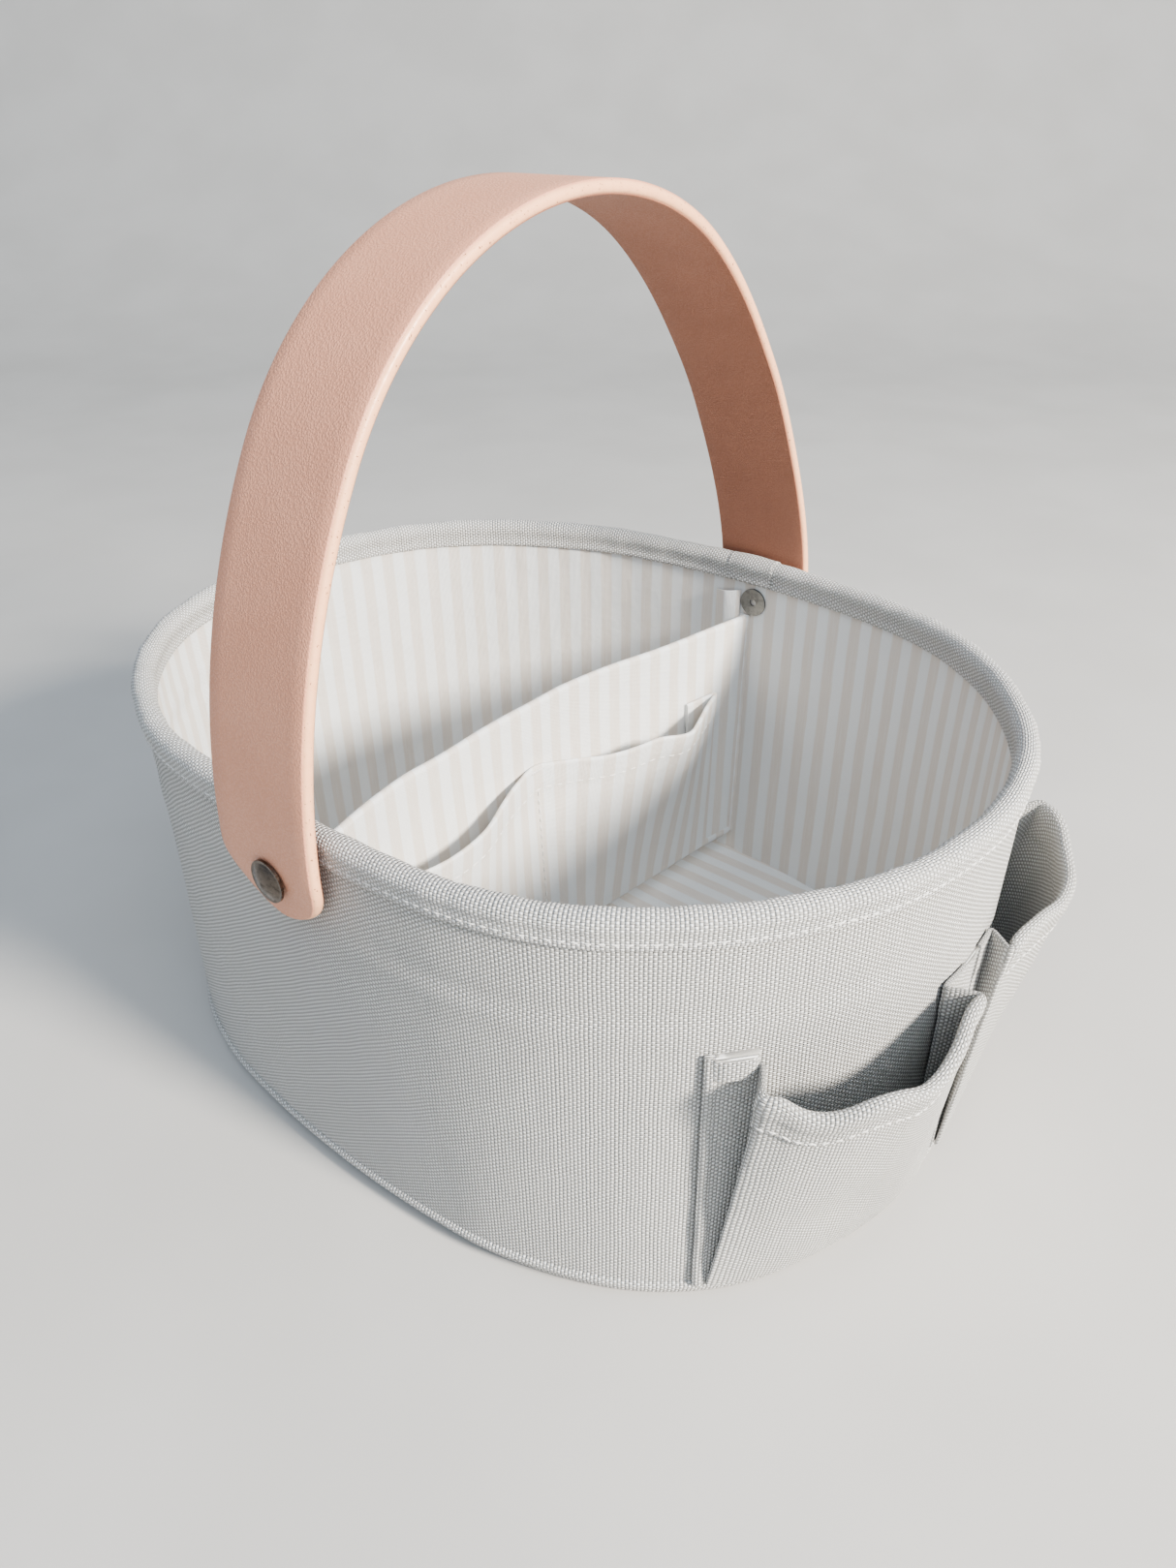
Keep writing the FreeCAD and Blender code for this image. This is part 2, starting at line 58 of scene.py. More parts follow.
RIM_TOP = top_mm("rim_binding")
HANDLE_TOP = top_mm("handle_outer_skin")
FLOOR_LOW, FLOOR_TOP = (corner.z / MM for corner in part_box("lining_floor"))
BOARD_LOW, BOARD_TOP = (corner.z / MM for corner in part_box("base_board"))
DIVIDER_LOW, DIVIDER_TOP = (corner.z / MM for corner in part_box("divider_cover"))
INNER_LOW, INNER_TOP = (corner.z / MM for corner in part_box("divider_pocket"))
POCKET_LOW, POCKET_TOP = (corner.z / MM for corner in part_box("pocket_front"))
PIPING_LOW, PIPING_TOP = (corner.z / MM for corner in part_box("base_piping"))
WALL_TOP = top_mm("outer_wall")

END_X = 36.0
END_HALF = radians(82.0)
SIDE_Y = END_X * tan(END_HALF)
SIDE_EXTRA = END_X / cos(END_HALF)
WALL_LOW_R, TAPER = 113.2, 1.6
CANVAS, BOARD, LINING = 1.0, 2.0, 0.6
WALL = CANVAS + BOARD + LINING
ROLL_RADIUS = 3.5
ROLL_Z = RIM_TOP - ROLL_RADIUS
ROLL_OFF = -WALL / 2
RIVET_Z = 125.0
REFERENCE_R = 114.0

# The strap is a little wider here than in the CAD, stands a little to one side and bends:
# its tips are tucked in to the wall, and its rear leg leans in and sideways.
STRAP_HALF = 19.6
STRAP_SHIFT = -1.1
TIP_TUCK = 2.9
REAR_LEAN_IN, REAR_LEAN_SIDE = 3.0, 2.4
STRAP = 3.8
STRAP_SPAN = 124.6
STRAP_FRONT_R, STRAP_REAR_R = 215.0, 170.0
STRAP_TIP = 14.0
STRAP_X = sum(corner.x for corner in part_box("handle_core")) / 2 / MM


# ---- Number helpers -----------------------------------------------------------
def smooth(x, low, high):
    """0 below low, 1 above high, and a soft step between them."""
    t = np.clip((np.asarray(x, float) - low) / (high - low), 0.0, 1.0)
    return t * t * (3 - 2 * t)


def hump(x, middle, width):
    return np.exp(-(((np.asarray(x, float) - middle) / width) ** 2))


def blurred(values, times, axis=0):
    """Values smoothed along one axis; the two end values stay."""
    values = np.moveaxis(np.array(values, float), axis, 0)
    for _ in range(times):
        inner = (values[:-2] + 2 * values[1:-1] + values[2:]) / 4
        values[1:-1] = inner
    return np.moveaxis(values, 0, axis)


def lengths(points):
    """Length along a line of points, from its first point."""
    steps = np.linalg.norm(np.diff(points, axis=0), axis=1)
    return np.concatenate([[0.0], np.cumsum(steps)])


# ---- The oval -----------------------------------------------------------------
TURNS = np.array([-pi, END_HALF - pi, -END_HALF, END_HALF, pi - END_HALF, pi])
TURN_RADII = np.array([REFERENCE_R, REFERENCE_R + SIDE_EXTRA] * 2 + [REFERENCE_R])
TURN_LENGTHS = np.concatenate([[0.0], np.cumsum(np.diff(TURNS) * TURN_RADII)])
GIRTH = TURN_LENGTHS[-1]


def heading(s):
    """Direction of the outward normal at length s round the oval."""
    return np.interp(np.mod(s, GIRTH), TURN_LENGTHS, TURNS)


def along(phi):
    return np.interp(phi, TURNS, TURN_LENGTHS)


def oval(phi, radius):
    """Point of the oval, this far from the end centres, whose normal points along phi."""
    phi, radius = np.broadcast_arrays(np.asarray(phi, float), np.asarray(radius, float))
    turn = np.mod(phi + pi, 2 * pi) - pi
    size = np.abs(turn)
    side = (size > END_HALF) & (size < pi - END_HALF)
    centre_x = np.where(side, 0.0, np.where(size <= END_HALF, END_X, -END_X))
    centre_y = np.where(side, -np.sign(turn) * SIDE_Y, 0.0)
    reach = radius + np.where(side, SIDE_EXTRA, 0.0)
    return centre_x + reach * np.cos(turn), centre_y + reach * np.sin(turn)


def wall_shift(phi, z):
    """How far the soft wall stands from its true oval: slow waves, a fuller base and a crease."""
    h = z / WALL_TOP
    slow = 0.55 * np.sin(3 * phi + 0.4) * h + 0.4 * np.sin(5 * phi - 1.3) * np.cos(2.1 * h + 0.5)
    slow += 0.22 * np.sin(9 * phi + 2.0 + 3 * h) + 0.1 * np.sin(17 * phi - 5 * h)
    base = 2.3 * (1 - smooth(h, 0.0, 0.75)) * np.sin(2 * phi) ** 2
    crease_z = 113.0 + 3.0 * np.sin(2 * phi + 0.5)
    crease = -0.5 * hump(z, crease_z, 2.4) + 0.35 * hump(z, crease_z - 6, 4.0)
    crease *= smooth(np.sin(-phi), 0.1, 0.6)
    beside_rivets = 1 - hump(np.abs(np.mod(phi + pi, 2 * pi) - pi), pi / 2, radians(5.0))
    return (slow + base + crease) * beside_rivets


def on_wall(phi, off, z):
    """Points this far outside the canvas face, at height z, on the soft wall."""
    phi, off, z = np.broadcast_arrays(np.asarray(phi, float), np.asarray(off, float), np.asarray(z, float))
    radius = WALL_LOW_R + TAPER * z / WALL_TOP + off + wall_shift(phi, z)
    x, y = oval(phi, radius)
    sway = (0.45 * np.sin(2 * phi + 0.8) + 0.2 * np.sin(5 * phi)) * smooth(z, 40, WALL_TOP)
    sway *= 1 - hump(np.abs(np.mod(phi + pi, 2 * pi) - pi), pi / 2, radians(4.0))
    return np.stack([x, y, z + sway], axis=-1)


# ---- Mesh helpers ---------------------------------------------------------------
def place(name, vertices, faces, uvs, material, body, replaced=(), sharp=40.0):
    """A smooth mesh with a cloth UV map, riding on a body. Lengths come in millimetres."""
    mesh = bpy.data.meshes.new(name)
    mesh.from_pydata((np.asarray(vertices, float) * MM).tolist(), [], faces)
    if uvs is not None:
        layer = mesh.uv_layers.new(name="cloth")
        layer.data.foreach_set("uv", (np.asarray(uvs, float) * MM).astype(np.float32).ravel())
    work = bmesh.new()
    work.from_mesh(mesh)
    bmesh.ops.recalc_face_normals(work, faces=work.faces)
    work.to_mesh(mesh)
    work.free()
    mesh.shade_smooth()
    mesh.set_sharp_from_angle(angle=radians(sharp))
    mesh.materials.append(material)
    piece = bpy.data.objects.new(name, mesh)
    bpy.context.scene.collection.objects.link(piece)
    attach(piece, body)
    if replaced:
        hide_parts(*replaced)
    return piece


def shell(name, rings, us, closed, material, body=BASKET, replaced=(), swap=False, sharp=40.0):
    """A closed skin over cross-sections: rings is stations x ring points x 3."""
    stations, m = rings.shape[:2]
    middle = rings[stations // 2]
    vs = lengths(np.concatenate([middle, middle[:1]]))
    faces, uvs = [], []
    last = stations if closed else stations - 1
    for i in range(last):
        a, b = i * m, ((i + 1) % stations) * m
        u0, u1 = us[i], us[i + 1]
        for j in range(m):
            k = (j + 1) % m
            faces.append((a + j, b + j, b + k, a + k))
            uvs += [(u0, vs[j]), (u1, vs[j]), (u1, vs[j + 1]), (u0, vs[j + 1])]
    if not closed:
        for i, step in ((0, -1.0), (stations - 1, 1.0)):
            a = i * m
            for j in range(m // 2 - 1):
                far = m - 1 - j
                faces.append((a + j, a + j + 1, a + far - 1, a + far))
                u = us[i]
                uvs += [(u, vs[j]), (u, vs[j + 1]), (u + step, vs[j + 1]), (u + step, vs[j])]
    uvs = np.array(uvs)
    if swap:
        uvs = uvs[:, ::-1]
    return place(name, rings.reshape(-1, 3), faces, uvs, material, body, replaced, sharp)


LIP_TURNS = [radians(a) for a in (36.0, 72.0, 108.0, 144.0)]


def lip(a, b, back):
    """Rounded edge from face a to face b; back is the row before a."""
    middle, half = (a + b) / 2, (a - b) / 2
    out = a - back
    out = out - half * (np.sum(out * half, -1) / np.maximum(np.sum(half * half, -1), 1e-9))[..., None]
    out /= np.maximum(np.linalg.norm(out, axis=-1, keepdims=True), 1e-9)
    reach = np.linalg.norm(half, axis=-1, keepdims=True)
    return [middle + half * cos(t) + out * reach * sin(t) for t in LIP_TURNS]


def cloth_rings(outer, inner):
    """Cross-sections of a sheet between two faces, given as stations x rows x 3."""
    top = lip(outer[:, -1], inner[:, -1], outer[:, -2])
    low = lip(inner[:, 0], outer[:, 0], inner[:, 1])
    parts = [low[2], low[3], *np.moveaxis(outer, 1, 0), *top]
    parts += [*np.moveaxis(inner, 1, 0)[::-1], low[0], low[1]]
    return np.stack(parts, axis=1)


def plan_normals(grid):
    """Level unit normals of a grid of stations x rows, to the right of its stations."""
    step = np.gradient(grid, axis=0)
    normal = np.stack([step[..., 1], -step[..., 0], np.zeros(step.shape[:2])], axis=-1)
    return normal / np.maximum(np.linalg.norm(normal, axis=-1, keepdims=True), 1e-9)


def thick(grid, normals, thickness):
    half = (np.asarray(thickness) / 2)[..., None] if np.ndim(thickness) else thickness / 2
    return grid + normals * half, grid - normals * half


def stitches(name, points, normals, step, length, radius):
    """Short raised threads along a line of points on a surface."""
    run = lengths(points)
    count = int(run[-1] // step)
    parts = np.linspace(0.0, 1.0, 6)
    rise = radius * (1.5 * np.sin(pi * parts) ** 0.6 - 0.95)
    width = radius * (0.55 + 0.45 * np.sin(pi * parts) ** 0.5)
    sides = 6
    vertices, faces = [], []
    for n in range(count):
        spots = n * step + 0.06 * step * sin(12.9 * n) + length * parts + (step - length) / 2
        at = np.stack([np.interp(spots, run, points[:, k]) for k in range(3)], axis=1)
        up = np.stack([np.interp(spots, run, normals[:, k]) for k in range(3)], axis=1)
        up /= np.linalg.norm(up, axis=1, keepdims=True)
        ahead = np.gradient(at, axis=0)
        ahead /= np.linalg.norm(ahead, axis=1, keepdims=True)
        across = np.cross(ahead, up)
        at = at + up * rise[:, None] + across * (0.12 * radius * sin(7.3 * n))
        base = len(vertices)
        for i in range(len(parts)):
            for k in range(sides):
                a = 2 * pi * k / sides
                vertices.append(at[i] + width[i] * (cos(a) * across[i] + sin(a) * up[i]))
        for i in range(len(parts) - 1):
            for k in range(sides):
                j = (k + 1) % sides
                a, b = base + i * sides, base + (i + 1) * sides
                faces.append((a + k, a + j, b + j, b + k))
        faces.append(tuple(base + k for k in range(sides)))
        faces.append(tuple(base + (len(parts) - 1) * sides + k for k in reversed(range(sides))))
    return place(name, vertices, faces, None, THREAD_PAINT, BASKET, sharp=60.0)


# ---- Material helpers -------------------------------------------------------------
class Paint:
    """A material built node by node."""

    def __init__(self, name, roughness, **inputs):
        self.material = bpy.data.materials.new(name)
        self.material.use_nodes = True
        self.nodes = self.material.node_tree.nodes
        self.links = self.material.node_tree.links
        self.shader = self.nodes["Principled BSDF"]
        self.shader.inputs["Roughness"].default_value = roughness
        for key, value in inputs.items():
            self.shader.inputs[key.replace("_", " ")].default_value = value

    def node(self, kind, settings=(), **inputs):
        made = self.nodes.new(kind)
        for key, value in dict(settings).items():
            setattr(made, key, value)
        for key, value in inputs.items():
            self.put(value, made.inputs[key.replace("_", " ")])
        return made

    def put(self, value, socket):
        if isinstance(value, bpy.types.NodeSocket):
            self.links.new(value, socket)
        else:
            socket.default_value = value

    def math(self, operation, a, b=None):
        made = self.node("ShaderNodeMath", {"operation": operation})
        self.put(a, made.inputs[0])
        if b is not None:
            self.put(b, made.inputs[1])
        return made.outputs[0]

    def times(self, a, b):
        return self.math("MULTIPLY", a, b)

    def plus(self, a, b):
        return self.math("ADD", a, b)

    def minus(self, a, b):
        return self.math("SUBTRACT", a, b)

    def blend(self, factor, a, b):
        made = self.node("ShaderNodeMix", {"data_type": "RGBA"})
        self.put(factor, made.inputs[0])
        self.put(a, made.inputs[6])
        self.put(b, made.inputs[7])
        return made.outputs[2]

    def tinted(self, colour, where, share, tint):
        """The colour, moved this share of the way to the tint where the mask is 1."""
        return self.blend(self.times(where, share), colour, tint)

    def range(self, value, low, high, to_low=0.0, to_high=1.0):
        made = self.node("ShaderNodeMapRange", {"interpolation_type": "SMOOTHSTEP"})
        for socket, number in zip(made.inputs[:5], (value, low, high, to_low, to_high)):
            self.put(number, socket)
        return made.outputs[0]

    def uv(self):
        flat = self.node("ShaderNodeUVMap", {"uv_map": "cloth"}).outputs[0]
        split = self.node("ShaderNodeSeparateXYZ", Vector=flat)
        return flat, split.outputs[0], split.outputs[1]

    def place(self):
        return self.node("ShaderNodeTexCoord").outputs["Object"]

    def stretched(self, vector, x, y, z=1.0):
        made = self.node("ShaderNodeMapping", Vector=vector, Scale=(x, y, z))
        return made.outputs[0]

    def noise(self, vector, scale, detail=2.0, roughness=0.5):
        settings = {"Scale": scale, "Detail": detail, "Roughness": roughness}
        made = self.node("ShaderNodeTexNoise", Vector=vector, **settings)
        return made.outputs[0]

    def weave(self, u, v, pitch_u, pitch_v, over=0.55):
        """A plain weave: its height, how far the first thread is over the second, the first's roundness."""
        a = self.math("SINE", self.times(u, pi / (pitch_u * MM)))
        b = self.math("SINE", self.times(v, pi / (pitch_v * MM)))
        p, q = self.math("ABSOLUTE", a), self.math("ABSOLUTE", b)
        side = self.math("SIGN", self.times(a, b))
        first = self.plus(self.times(self.times(side, q), over), p)
        second = self.minus(q, self.times(self.times(side, p), over))
        return self.math("MAXIMUM", first, second), self.minus(first, second), p

    def bump(self, height, distance, strength=1.0, normal=None):
        made = self.node("ShaderNodeBump", Height=height, Distance=distance, Strength=strength)
        if normal is not None:
            self.put(normal, made.inputs["Normal"])
        return made.outputs[0]

    def finish(self, colour, normal=None, roughness=None):
        self.put(colour, self.shader.inputs["Base Color"])
        if normal is not None:
            self.put(normal, self.shader.inputs["Normal"])
        if roughness is not None:
            self.put(roughness, self.shader.inputs["Roughness"])
        return self.material


def wobbling(paint, flat, u, v, amount):
    """The two cloth coordinates, bent a little by slow noise, as hand-sewn cloth is."""
    slow = paint.minus(paint.noise(flat, 60.0, 1.0), 0.5)
    fine = paint.minus(paint.noise(flat, 500.0, 1.0), 0.5)
    drift = paint.plus(paint.times(slow, amount * 4), paint.times(fine, amount))
    return paint.plus(u, drift), paint.minus(v, drift)


# The weave of the canvas, measured between its white dots, and the lining's stripes.
CANVAS_COLUMNS, CANVAS_ROWS = 1.11, 0.745
LINING_THREADS = 0.55
STRIPE_PITCH = 10.0


def canvas(name, light, dark, depth):
    """Coarse plain-woven cotton: white dots on a greige ground, painted shade in the grooves between
    threads, slubs, specks and slow soiling.
    """
    paint = Paint(name, 0.92, Sheen_Weight=0.2, Sheen_Roughness=0.5, Specular_IOR_Level=0.2)
    flat, u, v = paint.uv()
    x, y = wobbling(paint, flat, u, v, 0.00016)
    height, over, across = paint.weave(x, y, CANVAS_COLUMNS, CANVAS_ROWS, 0.75)
    slub_u = paint.noise(paint.stretched(flat, 60.0, 900.0), 1.0, 2.0)
    slub_v = paint.noise(paint.stretched(flat, 900.0, 60.0), 1.0, 2.0)
    slub = paint.times(paint.plus(slub_u, slub_v), 0.5)
    fuzz = paint.noise(flat, 3500.0, 2.0, 0.7)
    relief = paint.plus(height, paint.times(slub, 0.8))
    relief = paint.plus(relief, paint.times(fuzz, 0.35))
    uneven = paint.times(paint.minus(paint.noise(flat, 900.0, 1.0), 0.5), 1.6)
    dots = paint.range(paint.plus(over, uneven), -0.7, 1.1)
    colour = paint.blend(dots, dark, light)
    # Painted shade: the grooves between the columns of threads are darkened.
    groove_shade = paint.minus(1.0, paint.range(across, 0.05, 0.7))
    colour = paint.tinted(colour, groove_shade, 0.6, (0.3, 0.285, 0.26, 1.0))
    tint = paint.range(slub, 0.4, 0.62)
    colour = paint.tinted(colour, tint, 0.25, (0.6, 0.57, 0.51, 1.0))
    cloudy = paint.range(paint.noise(paint.place(), 26.0, 3.0), 0.35, 0.7)
    colour = paint.tinted(colour, cloudy, 0.1, (0.56, 0.53, 0.47, 1.0))
    specks = paint.range(paint.noise(flat, 700.0, 1.0), 0.76, 0.8)
    colour = paint.tinted(colour, specks, 0.45, (0.3, 0.26, 0.2, 1.0))
    return paint.finish(colour, paint.bump(relief, depth))


def striped_cloth(name):
    """Fine white cotton with soft beige stripes across the first cloth coordinate, and painted shade
    between its threads.
    """
    paint = Paint(name, 0.9, Sheen_Weight=0.2, Sheen_Roughness=0.5, Specular_IOR_Level=0.2)
    flat, u, v = paint.uv()
    x, y = wobbling(paint, flat, u, v, 0.00012)
    slanted = paint.plus(y, paint.times(x, 0.35))
    height = paint.weave(x, slanted, LINING_THREADS, LINING_THREADS)[0]
    thread = paint.noise(paint.stretched(flat, 2200.0, 40.0), 1.0, 1.0)
    edge = paint.plus(x, paint.times(paint.minus(thread, 0.5), 0.0009))
    wave = paint.math("SINE", paint.times(edge, 2 * pi / (STRIPE_PITCH * MM)))
    stripe = paint.range(wave, -0.28, 0.28)
    white, beige = (0.8, 0.81, 0.8, 1.0), (0.72, 0.665, 0.6, 1.0)
    colour = paint.blend(stripe, white, beige)
    slub = paint.noise(paint.stretched(flat, 1500.0, 60.0), 1.0, 2.0)
    colour = paint.tinted(colour, paint.range(slub, 0.4, 0.75), 0.28, white)
    # Painted shade: the low spots between the threads are darkened.
    gap_shade = paint.minus(1.0, paint.range(height, 0.3, 1.1))
    colour = paint.tinted(colour, gap_shade, 0.3, (0.5, 0.47, 0.43, 1.0))
    soft = paint.noise(paint.place(), 70.0, 3.0, 0.6)
    relief = paint.bump(soft, 0.0016, 0.5)
    fuzz = paint.plus(height, paint.times(paint.noise(flat, 4000.0, 2.0), 0.5))
    return paint.finish(colour, paint.bump(fuzz, 0.00009, 1.0, relief))


def leather(name, colour, deep, grain, depth, roughness):
    """Smooth coated leather with a fine pebble grain."""
    paint = Paint(name, roughness, Specular_IOR_Level=0.45, Coat_Weight=0.08, Coat_Roughness=0.35)
    where = paint.place()
    bend = paint.node("ShaderNodeVectorMath", {"operation": "MULTIPLY_ADD"})
    wander = paint.node("ShaderNodeTexNoise", Vector=where, Scale=900.0, Detail=2.0)
    paint.put(wander.outputs[1], bend.inputs[0])
    bend.inputs[1].default_value = (0.0006,) * 3
    paint.put(where, bend.inputs[2])
    rounded = {"feature": "SMOOTH_F1"}
    cells = paint.node("ShaderNodeTexVoronoi", rounded, Vector=bend.outputs[0], Scale=grain)
    cells.inputs["Smoothness"].default_value = 0.35
    pebble = paint.range(cells.outputs[0], 0.15, 0.75)
    pores = paint.range(paint.noise(where, 2600.0, 2.0, 0.7), 0.58, 0.75)
    shade = paint.range(paint.noise(where, 45.0, 3.0), 0.3, 0.75)
    tone = paint.tinted(colour, pebble, 0.35, deep)
    tone = paint.tinted(tone, shade, 0.3, deep)
    tone = paint.tinted(tone, pores, 0.25, deep)
    relief = paint.plus(paint.times(pebble, -1.0), paint.times(pores, -0.4))
    rough = paint.range(pebble, 0.0, 1.0, roughness - 0.05, roughness + 0.12)
    return paint.finish(tone, paint.bump(relief, depth), rough)


def painted_edge(name, colour, deep):
    """Edge paint: soft sheen, small lumps and a few rubbed specks."""
    paint = Paint(name, 0.42, Specular_IOR_Level=0.5, Coat_Weight=0.2, Coat_Roughness=0.3)
    where = paint.place()
    lumps = paint.noise(where, 420.0, 3.0, 0.6)
    specks = paint.range(paint.noise(where, 1300.0, 1.0), 0.7, 0.76)
    tone = paint.tinted(colour, paint.range(lumps, 0.35, 0.75), 0.35, deep)
    tone = paint.tinted(tone, specks, 0.8, (0.24, 0.1, 0.06, 1.0))
    height = paint.plus(lumps, paint.times(specks, -0.7))
    rough = paint.range(lumps, 0.3, 0.8, 0.36, 0.52)
    return paint.finish(tone, paint.bump(height, 0.00016), rough)


def metal(name, colour, worn, roughness, scratch):
    """Plated metal with fine scratches and a little dulling."""
    paint = Paint(name, roughness, Metallic=1.0)
    where = paint.place()
    scratches = paint.noise(paint.stretched(where, 300.0, 300.0, 2600.0), 1.0, 3.0, 0.7)
    dull = paint.noise(where, 500.0, 3.0, 0.6)
    tone = paint.blend(paint.range(dull, 0.4, 0.75), colour, worn)
    marks = paint.plus(scratches, dull)
    rough = paint.range(marks, 0.7, 1.3, roughness - scratch, roughness + scratch)
    return paint.finish(tone, paint.bump(scratches, 0.00003), rough)


def fibre(name, colour, dark):
    """Thread and cord: twisted fibres."""
    paint = Paint(name, 0.8, Sheen_Weight=0.3, Specular_IOR_Level=0.25)
    where = paint.place()
    strands = paint.noise(paint.stretched(where, 2600.0, 2600.0, 900.0), 1.0, 2.0, 0.6)
    tone = paint.blend(paint.range(strands, 0.3, 0.7), dark, colour)
    return paint.finish(tone, paint.bump(strands, 0.0001))


def board_paint(name):
    """Pressed board with visible fibres."""
    paint = Paint(name, 0.85)
    where = paint.place()
    fibres = paint.noise(paint.stretched(where, 900.0, 300.0, 900.0), 1.0, 4.0, 0.7)
    tone = paint.blend(paint.range(fibres, 0.3, 0.7), (0.3, 0.27, 0.22, 1.0), (0.48, 0.44, 0.37, 1.0))
    return paint.finish(tone, paint.bump(fibres, 0.00015))


CANVAS_PAINT = canvas("canvas_weave", (0.95, 0.945, 0.92, 1.0), (0.43, 0.415, 0.385, 1.0), 0.0005)
BINDING_PAINT = canvas("binding_weave", (0.97, 0.97, 0.955, 1.0), (0.52, 0.505, 0.475, 1.0), 0.0005)
LINING_PAINT = striped_cloth("striped_cotton")
THREAD_PAINT = fibre("sewing_thread", (0.86, 0.85, 0.82, 1.0), (0.62, 0.6, 0.56, 1.0))
CORD_PAINT = fibre("rim_cord_fibre", (0.7, 0.68, 0.62, 1.0), (0.45, 0.42, 0.37, 1.0))
BOARD_PAINT = board_paint("pressed_board")
OUTER_LEATHER = leather("strap_leather_face", (0.7, 0.36, 0.24, 1.0), (0.58, 0.265, 0.165, 1.0),
                        1500.0, 0.00007, 0.46)
INNER_LEATHER = leather("strap_leather_back", (0.45, 0.205, 0.13, 1.0), (0.34, 0.145, 0.088, 1.0),
                        1700.0, 0.00005, 0.55)
EDGE_PAINT = painted_edge("strap_edge_paint", (0.9, 0.5, 0.3, 1.0), (0.8, 0.4, 0.225, 1.0))
RIVET_PAINT = metal("rivet_gunmetal", (0.15, 0.13, 0.115, 1.0), (0.085, 0.075, 0.065, 1.0), 0.24, 0.1)
WASHER_PAINT = metal("washer_zinc", (0.24, 0.24, 0.23, 1.0), (0.16, 0.16, 0.155, 1.0), 0.5, 0.1)


# ---- Wall layers and bottom -------------------------------------------------------
STATIONS = 430
S = np.arange(STATIONS) * GIRTH / STATIONS
US = np.append(S, GIRTH)
PHI = heading(S)


def wall_layer(name, off_out, off_in, zs, material, replaced, ripple=None):
    phi, z = PHI[:, None], np.asarray(zs)[None, :]
    extra = ripple(phi, z) if ripple else 0.0
    under = -0.09 * np.clip(5.0 - z, 0.0, 5.0) ** 2 if off_out == 0.0 else 0.0
    outer = on_wall(phi, off_out + extra + under, z)
    inner = on_wall(phi, off_in + extra + under, z)
    return shell(name, cloth_rings(outer, inner), US, True, material, replaced=replaced)


def lining_ripple(phi, z):
    """Slack of the lining near the floor and small pulls under the rim."""
    low = 1 - smooth(z, 10.0, 62.0)
    waves = -0.9 * np.sin(23 * phi + 0.03 * z) ** 2 * low - 0.5 * np.sin(11 * phi + 1.0) ** 2 * low
    pulls = -0.25 * np.sin(31 * phi) ** 2 * smooth(z, 95.0, 125.0)
    seam = 1 - hump(np.abs(phi), pi / 2, radians(1.2))
    return (waves + pulls) * seam


def lining_shell(name, rings, us, replaced=(), swap=False):
    """A skin of striped lining that isn't closed on itself."""
    return shell(name, rings, us, False, LINING_PAINT, replaced=replaced, swap=swap)


wall_rows = np.concatenate([[0.7, 1.6, 3.0], np.linspace(5.0, WALL_TOP - 0.6, 52)])
canvas_wall = wall_layer("canvas_wall_cloth", 0.0, -CANVAS, wall_rows, CANVAS_PAINT,
                         ["outer_wall"])
wall_panel = wall_layer("wall_board_panel", -CANVAS - 0.05, -CANVAS - BOARD + 0.05,
                        np.linspace(6.0, WALL_TOP - 1.0, 24), BOARD_PAINT, ["wall_stiffener"])
lining_rows = np.linspace(FLOOR_LOW, WALL_TOP - 0.4, 46)
lining_skin = wall_layer("lining_wall_cloth", -WALL + LINING - 0.02, -WALL, lining_rows, LINING_PAINT,
                         ["lining_wall"], lining_ripple)


def disc(name, off, low, high, material, replaced, wave=0.0):
    """A closed oval sheet: a top and a bottom face over rings that shrink to the middle."""
    shares = np.concatenate([np.linspace(0.03, 0.9, 22), [0.94, 0.97, 0.99, 1.0]])
    edge = on_wall(PHI, off, low)
    tops, lows = [], []
    for share in shares:
        level = edge.copy()
        level[:, :2] *= share
        ripple = wave * (np.sin(0.07 * level[:, 0] + 0.5) * np.sin(0.09 * level[:, 1])) * (1 - share ** 6)
        level[:, 2] = high + ripple
        tops.append(level)
        under = level.copy()
        under[:, 2] = low
        lows.append(under)
    outer, inner = np.stack(tops, axis=1), np.stack(lows, axis=1)
    rings = np.concatenate([outer, inner[:, ::-1]], axis=1)
    m = rings.shape[1]
    vertices = rings.reshape(-1, 3).tolist()
    faces = []
    for i in range(STATIONS):
        a, b = i * m, ((i + 1) % STATIONS) * m
        faces += [(a + j, b + j, b + j + 1, a + j + 1) for j in range(m - 1)]
    middle_top, middle_low = len(vertices), len(vertices) + 1
    vertices += [[0.0, 0.0, high], [0.0, 0.0, low]]
    for i in range(STATIONS):
        a, b = i * m, ((i + 1) % STATIONS) * m
        faces.append((b, a, middle_top))
        faces.append((a + m - 1, b + m - 1, middle_low))
    flat = np.array(vertices)
    uvs = np.array([(flat[k][1], flat[k][0]) for face in faces for k in face])
    return place(name, vertices, faces, uvs, material, BASKET, replaced)


base_cloth = disc("base_canvas_cloth", -2.6, 0.0, 0.9, CANVAS_PAINT, ["base_canvas"])
base_panel = disc("base_board_panel", -WALL - 0.3, BOARD_LOW, BOARD_TOP, BOARD_PAINT,
                  ["base_board"])
floor_cloth = disc("lining_floor_cloth", -WALL - 0.1, FLOOR_LOW, FLOOR_TOP, LINING_PAINT,
                   ["lining_floor"], wave=0.5)


def ring_of(name, section, material, replaced, wobble=0.0, sharp=50.0):
    """A closed section (distance off the wall, height) swept round the oval."""
    section = np.asarray(section, float)
    phi = PHI[:, None]
    pucker = wobble * (np.sin(140 * phi) * 0.5 + np.sin(61 * phi + 1.0) * 0.5)
    rings = on_wall(phi, section[None, :, 0] + pucker, section[None, :, 1])
    return shell(name, rings, US, True, material, replaced=replaced, sharp=sharp)


